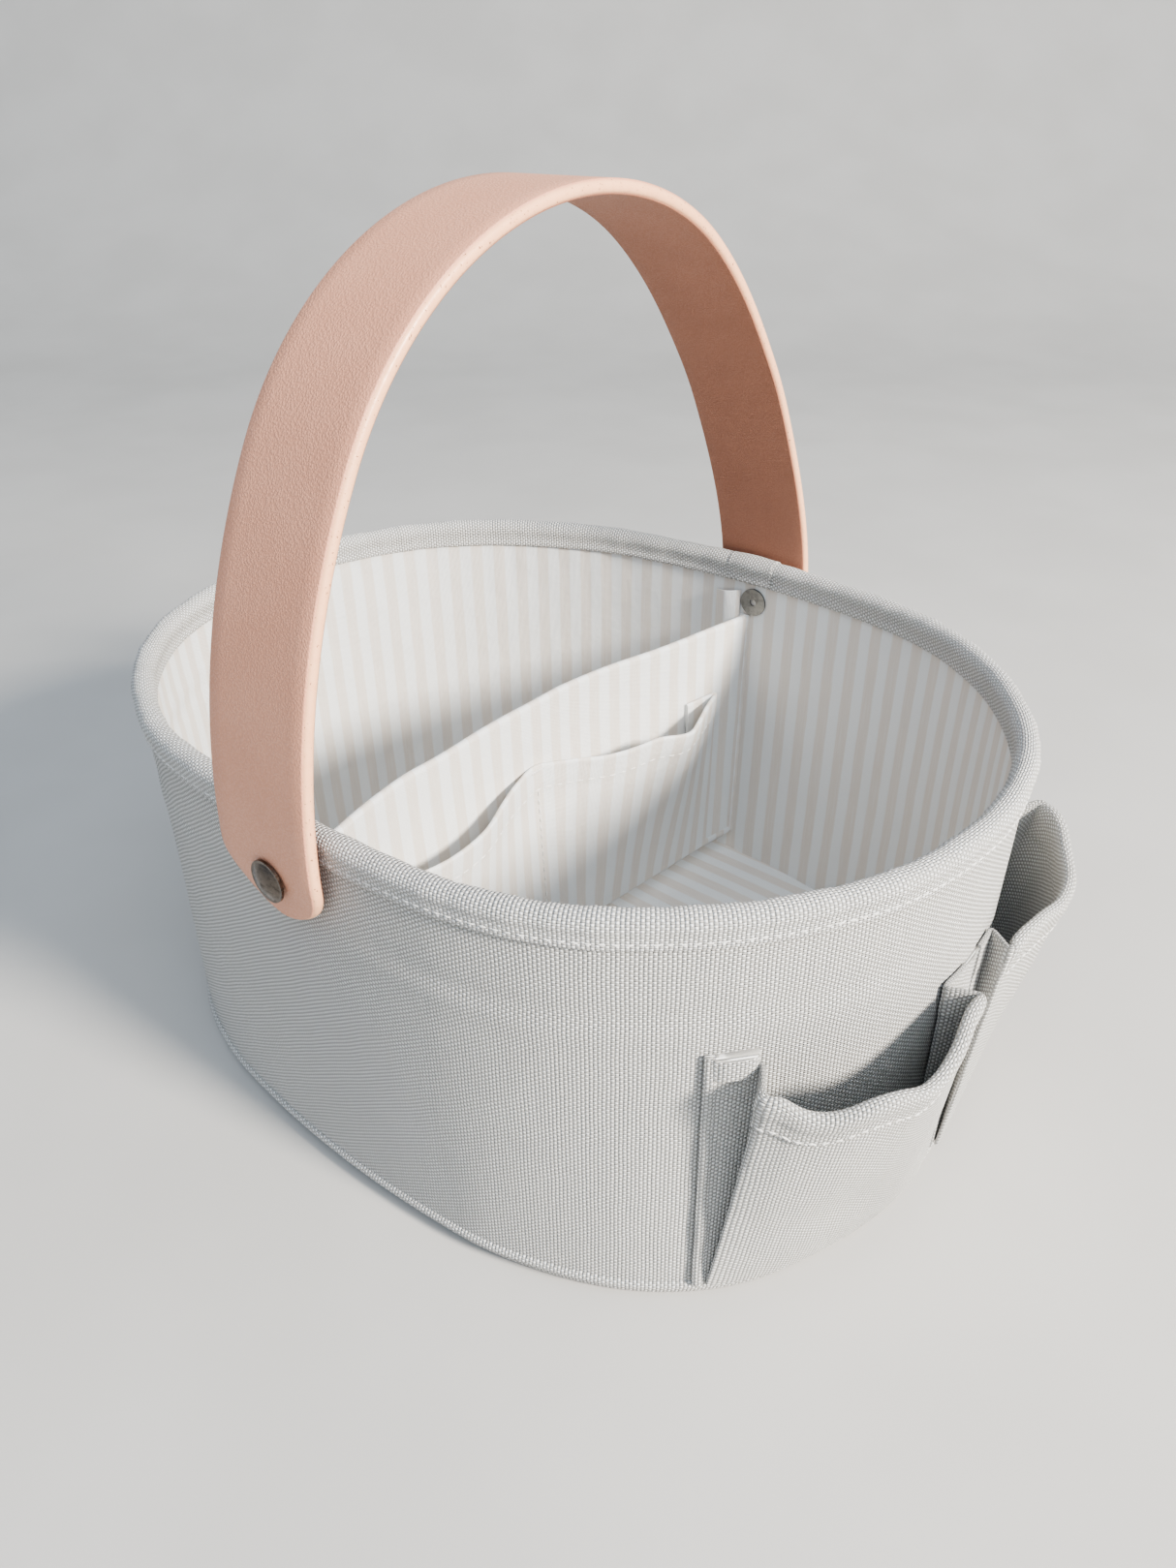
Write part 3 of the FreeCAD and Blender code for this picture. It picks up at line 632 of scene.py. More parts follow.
piping_mid = (PIPING_LOW + PIPING_TOP) / 2
piping_half = (PIPING_TOP - PIPING_LOW) / 2
piping_turns = np.linspace(-pi / 2, pi / 2, 9)
PIPING_OUT = 1.25
piping_section = [(PIPING_OUT * cos(a) - 0.1, piping_mid + piping_half * sin(a)) for a in piping_turns]
piping_section += [(-0.4, PIPING_TOP - 0.2), (-0.5, piping_mid), (-0.4, PIPING_LOW + 0.2)]
piping = ring_of("base_piping_cloth", piping_section, BINDING_PAINT, ["base_piping"], 0.05)

cord_turns = np.arange(12) * 2 * pi / 12
CORD_RADIUS = 2.3
cord_section = [(ROLL_OFF + CORD_RADIUS * cos(a), ROLL_Z + CORD_RADIUS * sin(a)) for a in cord_turns]
rim_cord = ring_of("rim_cord_tube", cord_section, CORD_PAINT, ["rim_core"])


# ---- Rim binding --------------------------------------------------------------------
def binding_line():
    """Middle line of the binding's cloth, from its outside foot over the roll to its inside foot."""
    radius = ROLL_RADIUS - 0.35
    turns = np.radians(np.linspace(-38.0, 212.0, 22))
    roll = [(ROLL_OFF + radius * cos(a), ROLL_Z + radius * sin(a)) for a in turns]
    outside = [(0.62, 132.9), (0.88, 133.4), (0.84, 134.0), (0.6, 134.7), (0.82, 135.5), (0.9, 136.4)]
    inside = [(-4.35, 136.4), (-4.2, 135.4), (-4.2, 134.7), (-4.6, 134.0), (-4.7, 133.5), (-4.5, 132.9)]
    return np.array(outside + roll + inside)


def section_normals(line):
    step = np.gradient(line, axis=0)
    normal = np.stack([step[:, 1], -step[:, 0]], axis=1)
    return normal / np.linalg.norm(normal, axis=1, keepdims=True)


BINDING = blurred(binding_line(), 1)
BINDING_NORMALS = section_normals(BINDING)


def binding_faces(phi, thickness, lift=0.0):
    phi = np.asarray(phi, float)[:, None]
    pucker = 0.1 * np.sin(150 * phi) + 0.08 * np.sin(67 * phi + 1.0) + 0.12 * np.sin(29 * phi)
    roll = smooth(BINDING[:, 1], 134.0, 138.0)[None, :]
    size = lift + pucker * (0.35 + 0.65 * roll)
    faces = []
    for half in (thickness / 2, -thickness / 2):
        off = BINDING[None, :, 0] + BINDING_NORMALS[None, :, 0] * (half + size)
        z = BINDING[None, :, 1] + BINDING_NORMALS[None, :, 1] * (half + size)
        faces.append(on_wall(phi, off, z))
    return faces


binding_outer, binding_inner = binding_faces(PHI, 0.9)
binding = shell("rim_binding_cloth", cloth_rings(binding_outer, binding_inner), US, True, BINDING_PAINT,
                replaced=["rim_binding"])

# The binding's end: a short overlapping piece with a raw, slightly frayed edge.
LAP_STATIONS, LAP_LENGTH = 22, 20.0
LAP_PHI = np.linspace(pi / 2 + 0.0188, pi / 2 - 0.0349, LAP_STATIONS)
lap_rows = slice(9, len(BINDING) - 1)
lap_lift = 0.72 - 0.35 * smooth(np.arange(LAP_STATIONS), 6, 0)
lap_outer, lap_inner = [], []
for phi, lift in zip(LAP_PHI, lap_lift):
    out, back = binding_faces([phi], 0.7, lift)
    lap_outer.append(out[0, lap_rows])
    lap_inner.append(back[0, lap_rows])
lap_outer, lap_inner = np.array(lap_outer), np.array(lap_inner)
ends = np.arange(lap_outer.shape[1])
fray = 0.35 * np.sin(ends * 2.6) + 0.2 * np.sin(ends * 5.1)
lap_outer[-1, :, 0] += fray
lap_inner[-1, :, 0] += fray
lap_us = np.linspace(0.0, LAP_LENGTH, LAP_STATIONS)
binding_end = shell("binding_lap_cloth", cloth_rings(lap_outer, lap_inner), lap_us, False, BINDING_PAINT,
                    replaced=["binding_lap"])

RIM_SEAM_Z = 134.7
fine_phi = heading(np.linspace(0.0, GIRTH, 1700))
seam_line = on_wall(fine_phi, 1.12, RIM_SEAM_Z)
seam_up = seam_line - on_wall(fine_phi, 0.0, RIM_SEAM_Z)
rim_stitches = stitches("rim_stitches", seam_line, seam_up, 3.2, 2.3, 0.24)


# ---- Divider --------------------------------------------------------------------------
DIVIDER_HALF = 1.5
PLAN_Y = np.array([-114, -93, -57, -20, 16, 33, 73.5, 114.0])
PLAN_X = np.array([-2.6, -7.8, -15.6, -16.3, -16.6, -13.2, -6.2, 1.5])
FINE_Y = np.linspace(-114.0, 114.0, 229)
FINE_X = blurred(np.interp(FINE_Y, PLAN_Y, PLAN_X), 28)


def divider_x(y, z):
    """Plan of the divider's middle: bowed and softly kinked at its top, calmer at the floor."""
    share = 0.72 + 0.28 * smooth(z, DIVIDER_LOW, DIVIDER_TOP)
    ripple = 0.5 * np.sin(0.11 * y + 0.4) * smooth(z, 40, 110) + 0.35 * np.sin(0.05 * y - 0.04 * z)
    return np.interp(y, FINE_Y, FINE_X) * share + ripple * (1 - smooth(np.abs(y), 85, 110))


def divider_end(z):
    return WALL_LOW_R + TAPER * z / WALL_TOP + SIDE_EXTRA - SIDE_Y - WALL - 0.15


def divider_faces(shares, off_out, off_in, line):
    """Two faces of a sheet that follows line, pairs of (side distance, height), along the divider."""
    faces = []
    normal = section_normals(line)
    for off in (off_out, off_in):
        d = (line[:, 0] + normal[:, 0] * off)[None, :]
        z = (line[:, 1] + normal[:, 1] * off)[None, :]
        z = np.broadcast_to(z, (len(shares), len(line)))
        y = shares[:, None] * divider_end(np.clip(z, DIVIDER_LOW, DIVIDER_TOP))
        droop = 0.8 * np.sin(0.045 * y + 0.6) * smooth(z, 95, 118) * (1 - smooth(np.abs(y), 80, 112))
        faces.append(np.stack([divider_x(y, z) + d, y, z + droop * 0.7], axis=-1))
    return faces


divider_shares = np.linspace(-1.0, 1.0, 120)
fold = [(1.15 * cos(a), DIVIDER_TOP - 1.5 + 1.15 * sin(a)) for a in np.linspace(0.15, pi - 0.15, 7)]
rows_up = np.linspace(DIVIDER_LOW, DIVIDER_TOP - 2.0, 40)
cover_line = np.array([(1.15, z) for z in rows_up] + fold + [(-1.15, z) for z in rows_up[::-1]])
cover_outer, cover_inner = divider_faces(divider_shares, 0.35, -0.35, cover_line)
divider_us = divider_shares * divider_end(60.0)
divider_cover = lining_shell("divider_cloth", cloth_rings(cover_outer, cover_inner), divider_us,
                             ["divider_cover"])

panel_line = np.stack([np.zeros(24), np.linspace(DIVIDER_LOW + 0.5, DIVIDER_TOP - 1.6, 24)], axis=1)
panel_outer, panel_inner = divider_faces(divider_shares * 0.985, 0.78, -0.78, panel_line)
divider_panel = shell("divider_board_panel", cloth_rings(panel_outer, panel_inner), divider_us, False,
                      BOARD_PAINT, replaced=["divider_board"])


def hem_line(name, side):
    """A folded hem along the divider's foot, on one side of it."""
    ys = np.linspace(-0.985, 0.985, 110)
    turns = np.linspace(0, 2 * pi, 10, endpoint=False)
    rings = []
    for share in ys:
        z = DIVIDER_LOW + 1.4 + 0.25 * sin(17 * share)
        y = share * divider_end(z)
        x = divider_x(y, z) + side * 1.5
        rings.append([(x + side * 0.75 * cos(a), y, z + 1.7 * sin(a)) for a in turns])
    return lining_shell(name, np.array(rings), ys * 110.0)


divider_hems = [hem_line("divider_foot_hem_right", 1), hem_line("divider_foot_hem_left", -1)]


def end_seam(name, side, replaced):
    """The divider's turned-in end: a soft vertical ridge sewn to the lining."""
    zs = np.linspace(DIVIDER_LOW + 0.5, DIVIDER_TOP + 0.4, 46)
    turns = np.linspace(0, 2 * pi, 12, endpoint=False)
    rings = []
    for z in zs:
        y = side * (divider_end(z) - 0.2)
        x = divider_x(y, z)
        reach = 2.5 + 0.2 * sin(0.6 * z)
        ring = []
        for a in turns:
            ridge = y - side * 0.9 * abs(sin(a)) + side * 0.25
            back = y + side * 0.3
            ring.append((x + reach * cos(a), ridge if sin(a) * side < 0 else back, z))
        rings.append(ring)
    return lining_shell(name, np.array(rings), zs, replaced, swap=True)


seam_pieces = [end_seam("divider_front_seam", -1, ["divider_seam_front"]),
               end_seam("divider_rear_seam", 1, ["divider_seam_rear"])]


def gusset(name, side, x_low, x_high, z_low, z_high, lift):
    """A small turned-up tab of lining beside the divider's end."""
    zs, xs = np.linspace(z_low, z_high, 16), np.linspace(0.0, 1.0, 12)
    grid = []
    for k in xs:
        row = []
        for z in zs:
            x = x_low + (x_high - x_low) * k
            start = divider_x(side * 112.0, min(z, DIVIDER_TOP))
            slack = lift * sin(pi * k) ** 0.8 * (0.4 + 0.6 * smooth(z, z_low, z_high))
            x_here = start + x
            bulge = (x_here ** 2) / (2 * (SIDE_EXTRA + 114.0))
            y = side * (divider_end(z) - bulge - 0.5 - slack)
            row.append((x_here, y, z + 2.0 * k * smooth(z, z_low, z_high)))
        grid.append(row)
    grid = np.array(grid)
    inner = grid + np.array([0.0, side * 0.6, 0.0])
    return lining_shell(name, cloth_rings(grid, inner), xs * abs(x_high - x_low))


rear_tab = gusset("divider_rear_tab", 1, -13.5, -2.2, DIVIDER_TOP - 26.0, DIVIDER_TOP + 8.0, 2.4)


# ---- Pocket on the divider ------------------------------------------------------------
# Its top edge as (distance along the divider, distance off its face), two cells from end to end.
INNER_EDGE = np.array([
    (-97, 0.7), (-91, 3.0), (-78, 9.0), (-58, 13.2), (-36, 11.4), (-15, 4.4), (-3, 0.8),
    (0, 0.7), (2.5, 0.9), (12, 4.6), (26, 10.2), (42, 14.2), (57, 17.0), (64, 17.2),
    (70, 14.4), (83, 7.6), (94.0, 2.6), (95.0, 1.4), (86, 1.2), (79, 1.0)])
INNER_COUNTS = [4, 5, 7, 7, 7, 5, 2, 2, 5, 7, 7, 7, 4, 4, 6, 5, 2, 6, 4]


def resampled(points, counts):
    """The line through points, with a set number of steps between each pair."""
    line = []
    for a, b, n in zip(points[:-1], points[1:], counts):
        line += [a + (b - a) * k / n for k in range(n)]
    return np.array(line + [points[-1]])


inner_edge = blurred(resampled(INNER_EDGE, INNER_COUNTS), 2)
inner_flat = inner_edge.copy()
inner_flat[:, 1] = 0.75 + 0.25 * smooth(inner_edge[:, 1], 0.7, 6.0)
INNER_ROWS = np.concatenate([np.linspace(0.0, 0.87, 34), [0.9, 0.93, 0.96, 0.985, 1.0]])


def inner_pocket_grid():
    t = INNER_ROWS[None, :]
    gape = t ** 1.25
    y = inner_flat[:, None, 0] + (inner_edge[:, None, 0] - inner_flat[:, None, 0]) * gape
    off = inner_flat[:, None, 1] + (inner_edge[:, None, 1] - inner_flat[:, None, 1]) * gape
    loose = smooth(np.abs(y), 3, 14) * (1 - smooth(np.abs(y), 80, 95))
    off = off + 0.5 * np.sin(0.16 * y + 2.0) * np.sin(pi * t) * loose
    y_edge = inner_edge[:, None, 0]
    top = INNER_TOP - 4.6 * hump(y_edge, 34.0, 24.0) - 4.0 * hump(y_edge, -50.0, 26.0)
    top = top + 0.6 * hump(y_edge, 0.0, 7.0)
    top = top - 4.4 * smooth(y_edge, 46.0, 64.0) - 1.5 * smooth(-y_edge, 60.0, 90.0)
    z = INNER_LOW + 0.5 + (top - INNER_LOW - 0.5) * t
    return np.stack([divider_x(y, z) + DIVIDER_HALF + off, y, z], axis=-1)


inner_grid = inner_pocket_grid()
inner_normals = plan_normals(inner_grid)
hem_share = smooth(INNER_ROWS, 0.865, 0.9)[None, :]
hem_dip = hump(INNER_ROWS, 0.885, 0.01)[None, :]
inner_thickness = np.broadcast_to(0.8 + 0.9 * hem_share - 0.35 * hem_dip, inner_grid.shape[:2])
inner_outer, inner_inner = thick(inner_grid, inner_normals, inner_thickness)
inner_us = lengths(inner_edge)
divider_pocket = lining_shell("divider_pocket_cloth", cloth_rings(inner_outer, inner_inner),
                              inner_us - inner_us[-1] / 2, ["divider_pocket", "divider_pocket_hem"])


def row_line(grid, normals, rows, share, off):
    """A line along a pocket grid at one share of its height, this far off its middle."""
    at = np.array([[np.interp(share, rows, grid[i, :, k]) for k in range(3)] for i in range(len(grid))])
    up = np.array([[np.interp(share, rows, normals[i, :, k]) for k in range(3)] for i in range(len(grid))])
    up /= np.linalg.norm(up, axis=1, keepdims=True)
    return at + up * off, up


line, up = row_line(inner_grid, inner_normals, INNER_ROWS, 0.885, 0.62)
keep = slice(3, int(len(line) * 0.87))
inner_stitches = stitches("divider_pocket_stitches", line[keep], up[keep], 4.6, 3.4, 0.24)

middle_z = np.linspace(INNER_LOW + 3.0, INNER_TOP - 1.5, 60)
middle_x = divider_x(np.zeros(60), middle_z) + DIVIDER_HALF + 1.3
middle_line = np.stack([middle_x, 0.1 * np.sin(middle_z), middle_z], axis=1)
middle_up = np.tile([1.0, 0.0, 0.0], (60, 1))
middle_stitches = stitches("divider_pocket_middle_stitches", middle_line, middle_up, 3.8, 2.8, 0.24)
bar_y = np.linspace(-3.4, 3.4, 12)
bar_z = np.full(12, INNER_TOP - 1.2)
bar_line = np.stack([divider_x(bar_y, bar_z) + DIVIDER_HALF + 1.7, bar_y, bar_z], axis=1)
bartack = stitches("divider_pocket_bartack", bar_line, np.tile([1.0, 0.0, 0.0], (12, 1)), 1.1, 1.35,
                   0.42)


# ---- Outer pockets -------------------------------------------------------------------
# Each line runs from the seam at the centre strip, through the inner pleat, along the
# front panel and through the outer pleat to the flange: (degrees round the end, off).
POCKET_EDGE = {
    -1: [(2.4, 0.9), (8.6, 1.1), (5.9, 10.3), (10.3, 12.2), (16.3, 17.4), (22.2, 22.3), (26.6, 22.4),
         (31.0, 20.9), (36.4, 18.4), (40.2, 14.2), (38.0, 1.7), (44.6, 1.3), (45.4, 1.3)],
    1: [(2.4, 0.9), (7.4, 1.1), (4.1, 8.8), (9.0, 10.2), (14.0, 14.0), (18.8, 17.8), (24.0, 20.2),
        (29.0, 21.6), (35.4, 23.4), (41.4, 20.4), (38.6, 1.7), (44.6, 1.3), (45.4, 1.3)],
}
POCKET_FOOT = [(2.6, 0.8), (6.8, 0.9), (3.1, 2.3), (9.0, 2.5), (15.0, 2.6), (20.5, 2.6), (26.0, 2.6),
               (31.5, 2.6), (38.0, 2.6), (44.0, 2.5), (39.5, 1.5), (44.6, 1.1), (45.4, 1.1)]
POCKET_COUNTS = [8, 11, 6, 7, 7, 6, 6, 7, 8, 13, 8, 2]
# Closer rows where the hem is folded and stitched, as shares of the pocket's height.
HEM_ROWS = [0.858, 0.866, 0.872, 0.877, 0.882, 0.888, 0.9, 0.92, 0.935, 0.945, 0.955, 0.965, 0.98,
            0.992, 1.0]
POCKET_ROWS = np.concatenate([np.linspace(0.0, 0.85, 36), HEM_ROWS])


def pocket_grid(side):
    top = blurred(resampled(np.array(POCKET_EDGE[side], float), POCKET_COUNTS), 3)
    foot = blurred(resampled(np.array(POCKET_FOOT, float), POCKET_COUNTS), 2)
    n = len(top)
    place_on = np.arange(n) / (n - 1.0)
    t = POCKET_ROWS[None, :]
    open_t = t ** 0.92
    angle = foot[:, None, 0] + (top[:, None, 0] - foot[:, None, 0]) * open_t
    off = foot[:, None, 1] + (top[:, None, 1] - foot[:, None, 1]) * open_t
    panel = (smooth(place_on, 0.24, 0.34) * (1 - smooth(place_on, 0.66, 0.74)))[:, None]
    belly = np.sin(pi * np.clip(t, 0, 1)) * panel
    off = off + belly * (1.1 + 0.9 * np.sin(9.0 * place_on[:, None] + 2.0 * t + side))
    off = off - 1.1 * panel * hump(t, 0.35, 0.12) * hump(place_on[:, None], 0.5, 0.1)
    off = off + 0.5 * panel * t * np.sin(26.0 * place_on[:, None] + side)
    if side < 0:
        sag = 4.2 * hump(place_on, 0.4, 0.1) + 3.6 * hump(place_on, 0.62, 0.07)
    else:
        sag = 3.4 * hump(place_on, 0.5, 0.12)
    edge_z = POCKET_TOP - sag + 0.6 * hump(place_on, 0.27, 0.04) + 0.5 * hump(place_on, 0.7, 0.03)
    z = POCKET_LOW + 0.4 + (edge_z[:, None] - POCKET_LOW - 0.4) * t
    z = z - 0.5 * panel * np.sin(34.0 * place_on[:, None]) * t ** 6
    return on_wall(np.radians(side * angle), off, z), place_on


def outer_pocket(side, name, replaced):
    grid, place_on = pocket_grid(side)
    normals = plan_normals(grid) * -side
    normals = blurred(normals, 2)
    normals /= np.linalg.norm(normals, axis=-1, keepdims=True)
    free = (smooth(place_on, 0.2, 0.25) * (1 - smooth(place_on, 0.74, 0.8)))[:, None]
    hem = smooth(POCKET_ROWS, 0.868, 0.882)[None, :]
    dip = hump(POCKET_ROWS, 0.89, 0.008)[None, :]
    fold = smooth(POCKET_ROWS, 0.93, 0.965)[None, :]
    width = 0.95 + hem * (0.5 + 1.1 * free) + 1.4 * fold * free - 0.7 * dip * free
    outer, inner = thick(grid, -normals, width)
    us = lengths(grid[:, -1])
    piece = shell(name, cloth_rings(outer, inner), us, False, CANVAS_PAINT, replaced=replaced)
    line, up = row_line(grid, -normals, POCKET_ROWS, 0.89, 0.95)
    n = len(line)
    keep = slice(int(n * 0.22), int(n * 0.78))
    threads = stitches(name.replace("cloth", "stitches"), line[keep], up[keep], 3.4, 2.5, 0.26)
    return piece


front_pocket = outer_pocket(-1, "front_pocket_cloth", ["pocket_front", "pocket_hem_front"])
rear_pocket = outer_pocket(1, "rear_pocket_cloth", ["pocket_rear", "pocket_hem_rear"])


def wall_strip(name, low, high, section, replaced, rows, top_z, hem=0.0):
    """A narrow strip on the wall; section gives (share across, distance off) outlines."""
    zs = np.linspace(POCKET_LOW, top_z, rows)
    rings = []
    for z in zs:
        ring = []
        for share, off in section:
            angle = low + (high - low) * share
            lift = off * (1 + 0.12 * sin(0.23 * z + low) + hem * float(smooth(z, top_z - 8.0, top_z - 6.6)))
            ring.append(on_wall(radians(angle), lift, z))
        rings.append(ring)
    return shell(name, np.array(rings), zs, False, CANVAS_PAINT, replaced=replaced, swap=True)


STRIP_SECTION = [(0.0, 0.1), (0.0, 0.7), (0.12, 1.3), (0.35, 1.55), (0.65, 1.5), (0.88, 1.25),
                 (1.0, 0.7), (1.0, 0.1)]
EDGE_SECTION = [(0.0, 0.8), (-0.1, 1.3), (0.1, 2.0), (0.45, 2.4), (0.8, 2.2), (1.0, 1.6),
                (0.95, 1.0), (0.6, 0.7)]
centre_strip = wall_strip("pocket_centre_strip_cloth", -2.5, 2.5, STRIP_SECTION,
                          ["pocket_centre_strip"], 40, POCKET_TOP - 0.3)
# Degrees round the end: the flange strip, then the folded seam at its outer side.
FLANGE_FROM, FLANGE_TO = 38.4, 44.9
FOLD_FROM, FOLD_TO = 43.9, 45.6
flange_pieces = []
for side, word in ((-1, "front"), (1, "rear")):
    strip = wall_strip(f"{word}_flange_cloth", side * FLANGE_FROM, side * FLANGE_TO, STRIP_SECTION,
                       [f"pocket_flange_{word}"], 70, POCKET_TOP + 3.6, hem=1.5)
    edge = wall_strip(f"{word}_flange_edge", side * FOLD_FROM, side * FOLD_TO, EDGE_SECTION,
                      [f"pocket_seam_{word}"], 40, POCKET_TOP + 4.0)
    flange_pieces += [strip, edge]


# ---- Strap -----------------------------------------------------------------------------
def strap_profile():
    """Outside line of the strap in the YZ plane, from the front tip over the top to the rear tip."""
    rise = HANDLE_TOP - RIVET_Z
    front_gap, rear_gap = STRAP_FRONT_R - rise, STRAP_REAR_R - rise
    front_y, rear_y = STRAP_FRONT_R - STRAP_SPAN, STRAP_SPAN - STRAP_REAR_R
    a = rear_gap - front_gap
    b = 2 * (front_gap * rear_y - rear_gap * front_y)
    c = rear_gap * front_y ** 2 - front_gap * rear_y ** 2 + front_gap * rear_gap * a
    crown_y = (-b - sqrt(b * b - 4 * a * c)) / (2 * a)
    lift = ((crown_y - front_y) ** 2 - front_gap ** 2) / (2 * front_gap)
    crown_r = rise - lift
    foot = np.linspace(RIVET_Z - STRAP_TIP, RIVET_Z, 12)[:-1]
    front_turn = atan2(lift, crown_y - front_y)
    rear_turn = atan2(lift, crown_y - rear_y)
    line = [(-STRAP_SPAN, z) for z in foot]
    for centre_y, centre_z, radius, start, end in (
            (front_y, RIVET_Z, STRAP_FRONT_R, pi, front_turn),
            (crown_y, RIVET_Z + lift, crown_r, front_turn, rear_turn),
            (rear_y, RIVET_Z, STRAP_REAR_R, rear_turn, 0.0)):
        turns = np.linspace(start, end, 70)[1:]
        line += [(centre_y + radius * cos(t), centre_z + radius * sin(t)) for t in turns]
    line += [(STRAP_SPAN, z) for z in foot[::-1]]
    return np.array(line)


def strap_stations(count=200):
    """Points along the strap, closer at its round tips, with the strap's inward normal, length so far,
    half width and sideways lean at each."""
    line = strap_profile()
    run = lengths(line)
    near = STRAP_HALF * (1 - np.cos(np.linspace(0.09, pi / 2, 16)))
    between = np.linspace(near[-1], run[-1] - near[-1], count)[1:-1]
    spots = np.concatenate([near, between, run[-1] - near[::-1]])
    at = np.stack([np.interp(spots, run, line[:, k]) for k in range(2)], axis=1)
    step = blurred(np.gradient(at, axis=0), 4)
    normal = np.stack([step[:, 1], -step[:, 0]], axis=1)
    normal /= np.linalg.norm(normal, axis=1, keepdims=True)
    centre = np.array([0.0, RIVET_Z])
    flip = np.sign(np.sum(normal * (centre - at), axis=1))
    normal *= flip[:, None]
    heights = at[:, 1]
    tuck = TIP_TUCK * (1 - smooth(heights, RIVET_Z - STRAP_TIP, RIVET_Z + 6.0)) * -np.sign(at[:, 0])
    rear = at[:, 0] > 0
    climb = smooth(heights, RIVET_Z, 205.0) * (1 - smooth(heights, 225.0, HANDLE_TOP + 4.0)) * rear
    at = at + np.stack([tuck - REAR_LEAN_IN * climb, np.zeros(len(at))], axis=1)
    sideways = -REAR_LEAN_SIDE * climb
    tip = np.minimum(spots, run[-1] - spots)
    inside = np.clip(STRAP_HALF - tip, 0.0, STRAP_HALF)
    half = np.sqrt(np.maximum(STRAP_HALF ** 2 - inside ** 2, 0.0))
    return at, normal, spots, half, sideways


STRAP_AT, STRAP_IN, STRAP_S, STRAP_W, STRAP_LEAN = strap_stations()


def strap_band(name, depth_low, depth_high, inset, bulge, material, replaced):
    """A band along the strap between two depths, with rounded long edges."""
    turns = np.linspace(-pi / 2, pi / 2, 7)
    middle, half_depth = (depth_low + depth_high) / 2, (depth_high - depth_low) / 2
    section = []
    for k in np.linspace(-1.0, 1.0, 9):
        section.append((k, -1.0, 0.0))
    for a in turns[1:-1]:
        section.append((1.0, sin(a), cos(a)))
    for k in np.linspace(1.0, -1.0, 9):
        section.append((k, 1.0, 0.0))
    for a in turns[1:-1][::-1]:
        section.append((-1.0, sin(a), -cos(a)))
    section = np.array(section[-2:] + section[:-2])
    width = np.maximum(STRAP_W - inset, 0.35)
    rings = []
    for at, normal, w, lean in zip(STRAP_AT, STRAP_IN, width, STRAP_LEAN):
        x = STRAP_X + STRAP_SHIFT + lean + section[:, 0] * (w - bulge) + section[:, 2] * bulge
        depth = middle + section[:, 1] * half_depth
        y = at[0] + normal[0] * depth
        z = at[1] + normal[1] * depth
        rings.append(np.stack([x, y, z], axis=1))
    return shell(name, np.array(rings), STRAP_S, False, material, HANDLE, replaced, sharp=60.0)


SKIN = 1.2
strap_edge = strap_band("strap_painted_edge", 0.28, STRAP - 0.28, 0.0, 1.1, EDGE_PAINT,
                        ["handle_core"])
strap_face = strap_band("strap_outer_face", 0.0, SKIN, 0.75, 0.4, OUTER_LEATHER,
                        ["handle_outer_skin"])
strap_back = strap_band("strap_inner_face", STRAP - SKIN, STRAP, 0.75, 0.4, INNER_LEATHER,
                        ["handle_inner_skin"])

# ---- Rivets ------------------------------------------------------------------------------
METALS = {"rivet_caps": RIVET_PAINT, "rivet_posts": RIVET_PAINT, "inner_washers": WASHER_PAINT}
for node, material in METALS.items():
    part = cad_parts[node]
    part.data.materials.clear()
    part.data.materials.append(material)

# ---- Floor, light and camera ---------------------------------------------------------------------
# Outline of the floor in metres, (distance away from the camera, height), curved up to a wall.
FLAT_TO, CURVE = 1.1, 0.9
sweep = [(-6.0, 0.0), (FLAT_TO, 0.0)]
sweep += [(FLAT_TO + CURVE * sin(t), CURVE - CURVE * cos(t)) for t in np.linspace(0.1, pi / 2, 16)]
sweep.append((FLAT_TO + CURVE, 3.2))
FACING = radians(39.7)
away = Vector((-sin(FACING), cos(FACING), 0.0))
beside = Vector((away.y, -away.x, 0.0))
floor_points = []
for reach, rise in sweep:
    floor_points += [away * reach + beside * across + Vector((0, 0, rise)) for across in (-5, 5)]
floor_faces = [(2 * i, 2 * i + 1, 2 * i + 3, 2 * i + 2) for i in range(len(sweep) - 1)]
floor_mesh = bpy.data.meshes.new("studio_floor")
floor_mesh.from_pydata(floor_points, [], floor_faces)
floor_mesh.shade_smooth()
studio_floor = bpy.data.objects.new("studio_floor", floor_mesh)
bpy.context.scene.collection.objects.link(studio_floor)
floor_paint = Paint("studio_floor_paint", 0.7, Specular_IOR_Level=0.25)
mottle = floor_paint.noise(floor_paint.place(), 9.0, 3.0)
mottle = floor_paint.range(mottle, 0.3, 0.7)
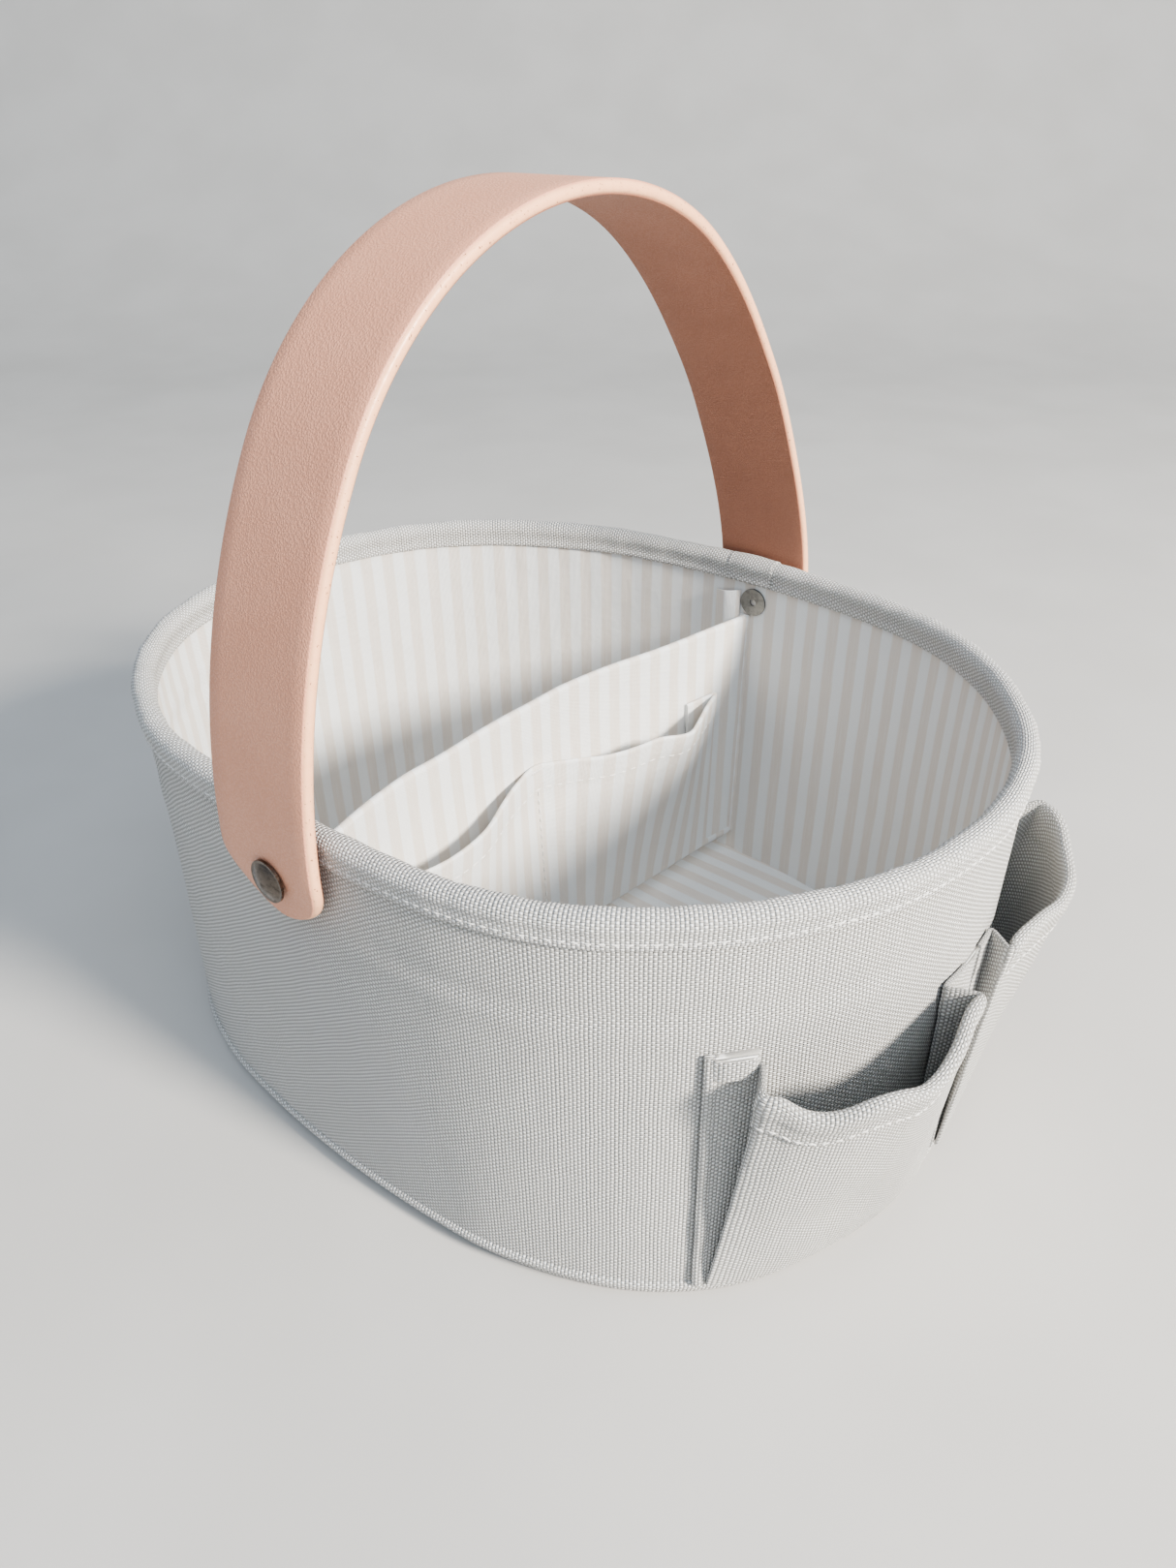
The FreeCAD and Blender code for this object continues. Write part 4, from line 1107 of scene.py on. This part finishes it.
floor_tone = floor_paint.blend(mottle, (0.5, 0.485, 0.46, 1.0), (0.53, 0.515, 0.49, 1.0))
floor_mesh.materials.append(floor_paint.finish(floor_tone))

world = bpy.data.worlds.new("studio")
world.use_nodes = True
world.node_tree.nodes["Background"].inputs[0].default_value = (0.68, 0.82, 1.0, 1.0)
world.node_tree.nodes["Background"].inputs[1].default_value = 0.6
bpy.context.scene.world = world
bpy.context.scene.view_settings.look = "AgX - Medium High Contrast"


def soft_light(name, direction, distance, size, power, colour):
    light = bpy.data.lights.new(name, "AREA")
    light.shape = "DISK"
    light.size = size
    light.energy = power
    light.color = colour
    lamp = bpy.data.objects.new(name, light)
    aim = Vector((0.0, 0.0, 0.08))
    lamp.location = aim + Vector(direction).normalized() * distance
    lamp.rotation_euler = (aim - lamp.location).to_track_quat("-Z", "Y").to_euler()
    bpy.context.scene.collection.objects.link(lamp)


soft_light("key", (0.96, 0.03, 0.52), 2.2, 0.4, 120.0, (1.0, 0.94, 0.86))
soft_light("sky", (0.45, -0.4, 1.0), 2.6, 2.4, 36.0, (0.84, 0.91, 1.0))


def add_camera(place_at, yaw, pitch, roll, focal_share):
    """A camera at a point in metres; angles in degrees; focal length as a share of the long side."""
    yaw, pitch, roll = radians(yaw), radians(pitch), radians(roll)
    ahead = Vector((sin(yaw) * cos(pitch), cos(yaw) * cos(pitch), -sin(pitch)))
    right = Vector((cos(yaw), -sin(yaw), 0.0))
    up = right.cross(ahead)
    turned_right = right * cos(roll) + up * sin(roll)
    turned_up = up * cos(roll) - right * sin(roll)
    data = bpy.data.cameras.new("camera")
    data.sensor_width = 36.0
    data.lens = focal_share * data.sensor_width
    camera = bpy.data.objects.new("camera", data)
    turn = Matrix((turned_right, turned_up, -ahead)).transposed()
    camera.matrix_world = Matrix.Translation(place_at) @ turn.to_4x4()
    bpy.context.scene.collection.objects.link(camera)
    bpy.context.scene.camera = camera


add_camera((0.2222, -0.2536, 0.3034), -39.73, 32.11, -0.58, 0.7136)
